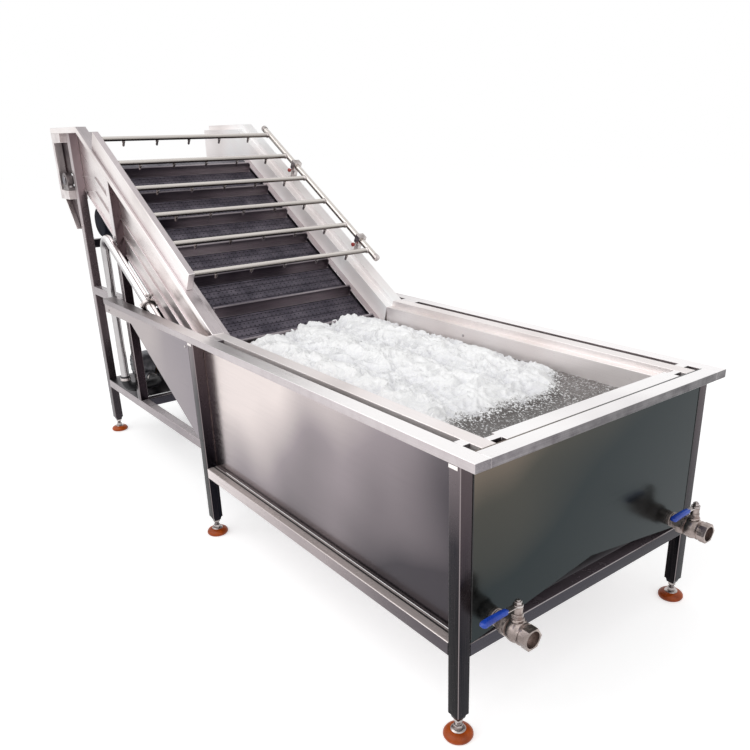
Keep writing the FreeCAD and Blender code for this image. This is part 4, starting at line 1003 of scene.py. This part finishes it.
finishes = {
    "rim_sides": (rim_sheet, 1.5), "rim_end": (end_rim_sheet, 1.5), "slot_bridges": (rim_sheet, 0.8),
    "tank_side_walls": (tank_sheet, 0), "tank_end_wall": (end_sheet, 0), "tank_floor": (gutter_sheet, 0),
    "tank_rear_slope": (under_sheet, 0), "side_covers": (cover_sheet, 0.8),
    "tank_inner_walls": (inner_sheet, 1.5), "tank_inner_end": (end_rim_sheet, 1.2),
    "elevator_side_near": (slope_sheet, 1.5), "elevator_side_far": (lit_far_side_sheet, 1.5),
    "elevator_trough": (trough_sheet, 0), "head_frames": (head_sheet, 1.2), "belt_guides": (slope_sheet, 0.8),
    "front_legs": (leg_tube, 0), "middle_legs": (leg_tube, 0), "rear_legs": (rear_leg_tube, 0),
    "elevator_posts": (tall_tube, 0), "tank_side_rails": (level_tube, 0), "rear_side_rails": (rear_level_tube, 0),
    "upper_side_rails": (rear_level_tube, 0), "tank_cross_rails": (cross_tube, 0),
    "rear_cross_rails": (cross_tube, 0),
    "head_bearings": (bearing_steel, 2.0), "head_shaft": (cross_tube, 0.8), "tail_shaft": (cross_tube, 0.8),
    "gearmotor": (motor_paint, 2.0), "spray_pipes": (spray_tube, 0), "spray_manifold": (spray_tube, 0),
    "spray_carrier": (slope_sheet, 1.5), "manifold_brackets": (fitting_steel, 0.8), "air_pipe": (air_tube, 0),
    "pipe_clamp": (fitting_steel, 0), "air_hose": (hose_rubber, 0), "blower_shelf": (under_sheet, 0.8),
    "drain_valve_near": (valve_steel, 0.8), "drain_valve_far": (valve_steel, 0.8),
}
for node, (finish, edge) in finishes.items():
    dressed(node, finish, edge)
make_belt()
make_drive()
make_feet()
make_valve(-1, "near_lever", "valve_lever_near")
make_valve(1, "far_lever", "valve_lever_far")
make_spray_details()
make_air_details()
make_motor_details()
make_sheet_details()
make_water()


def white_for_looks(tree, plain):
    """1 for rays that look straight at the stage or see it in metal or through water, else a plain share."""
    rays = add(tree, "LightPath", out=None)
    seen = add(tree, "Math", {0: rays["Is Camera Ray"], 1: rays["Is Glossy Ray"]}, operation="MAXIMUM")
    seen = add(tree, "Math", {0: seen, 1: rays["Is Transmission Ray"]}, operation="MAXIMUM")
    return add(tree, "MapRange", {0: seen, 3: plain})


def make_stage():
    """White floor that keeps a soft shadow, white surroundings and two soft lamps."""
    world = bpy.data.worlds.new("studio")
    bpy.context.scene.world = world
    world.use_nodes = True
    tree = world.node_tree
    sky = tree.nodes["Background"]
    sky.inputs["Color"].default_value = (1, 1, 1, 1)
    tree.links.new(white_for_looks(tree, 0.60), sky.inputs["Strength"])
    bm = bmesh.new()
    add_block(bm, (-30, -30, -0.02), (30, 30, 0.0))
    floor = linked("floor", as_mesh("floor", bm))
    paint, tree = begin("studio_floor_white", Base_Color=(0.8, 0.8, 0.8, 1), Roughness=0.9,
                        Specular_IOR_Level=0.0, Emission_Color=(1, 1, 1, 1))[:2]
    glow = add(tree, "MapRange", {0: white_for_looks(tree, 0.0), 1: 0.0, 2: 1.0, 3: 0.0, 4: 0.52})
    tree.links.new(glow, shader_inputs(paint)["Emission Strength"])
    floor.data.materials.append(paint)
    for name, spot, size, power in (("key", (-0.6, -4.2, 4.4), 6.4, 150), ("fill", (4.8, -0.8, 3.6), 4.5, 42)):
        lamp = bpy.data.lights.new(name, "AREA")
        lamp.size = size
        lamp.energy = power
        holder = linked(name, lamp)
        aim = Vector((0.0, 0.0, 0.7)) - Vector(spot)
        holder.matrix_world = Matrix.Translation(spot) @ aim.to_track_quat("-Z", "Y").to_matrix().to_4x4()
    bpy.context.scene.view_settings.view_transform = "Standard"


def make_camera():
    """Camera at the photograph's standpoint, level with the head of the elevator."""
    yaw, pitch, roll = (math.radians(a) for a in (51.941, 21.168, -1.33))
    ahead = Vector((-math.sin(yaw) * math.cos(pitch), math.cos(yaw) * math.cos(pitch), -math.sin(pitch)))
    level = Vector((math.cos(yaw), math.sin(yaw), 0.0))
    upright = level.cross(ahead)
    right = level * math.cos(roll) + upright * math.sin(roll)
    up = upright * math.cos(roll) - level * math.sin(roll)
    lens = bpy.data.cameras.new("camera")
    lens.sensor_width = 36.0
    lens.lens = 749.83 / 750 * 36
    lens.shift_x = (375 - 396.25) / 750
    lens.shift_y = (421.18 - 375) / 750
    lens.clip_end = 200
    camera = linked("camera", lens)
    columns = Matrix((right, up, -ahead)).transposed().to_4x4()
    camera.matrix_world = Matrix.Translation(at(1087.6, -1527.1, 1463.38)) @ columns
    bpy.context.scene.camera = camera


make_stage()
make_camera()
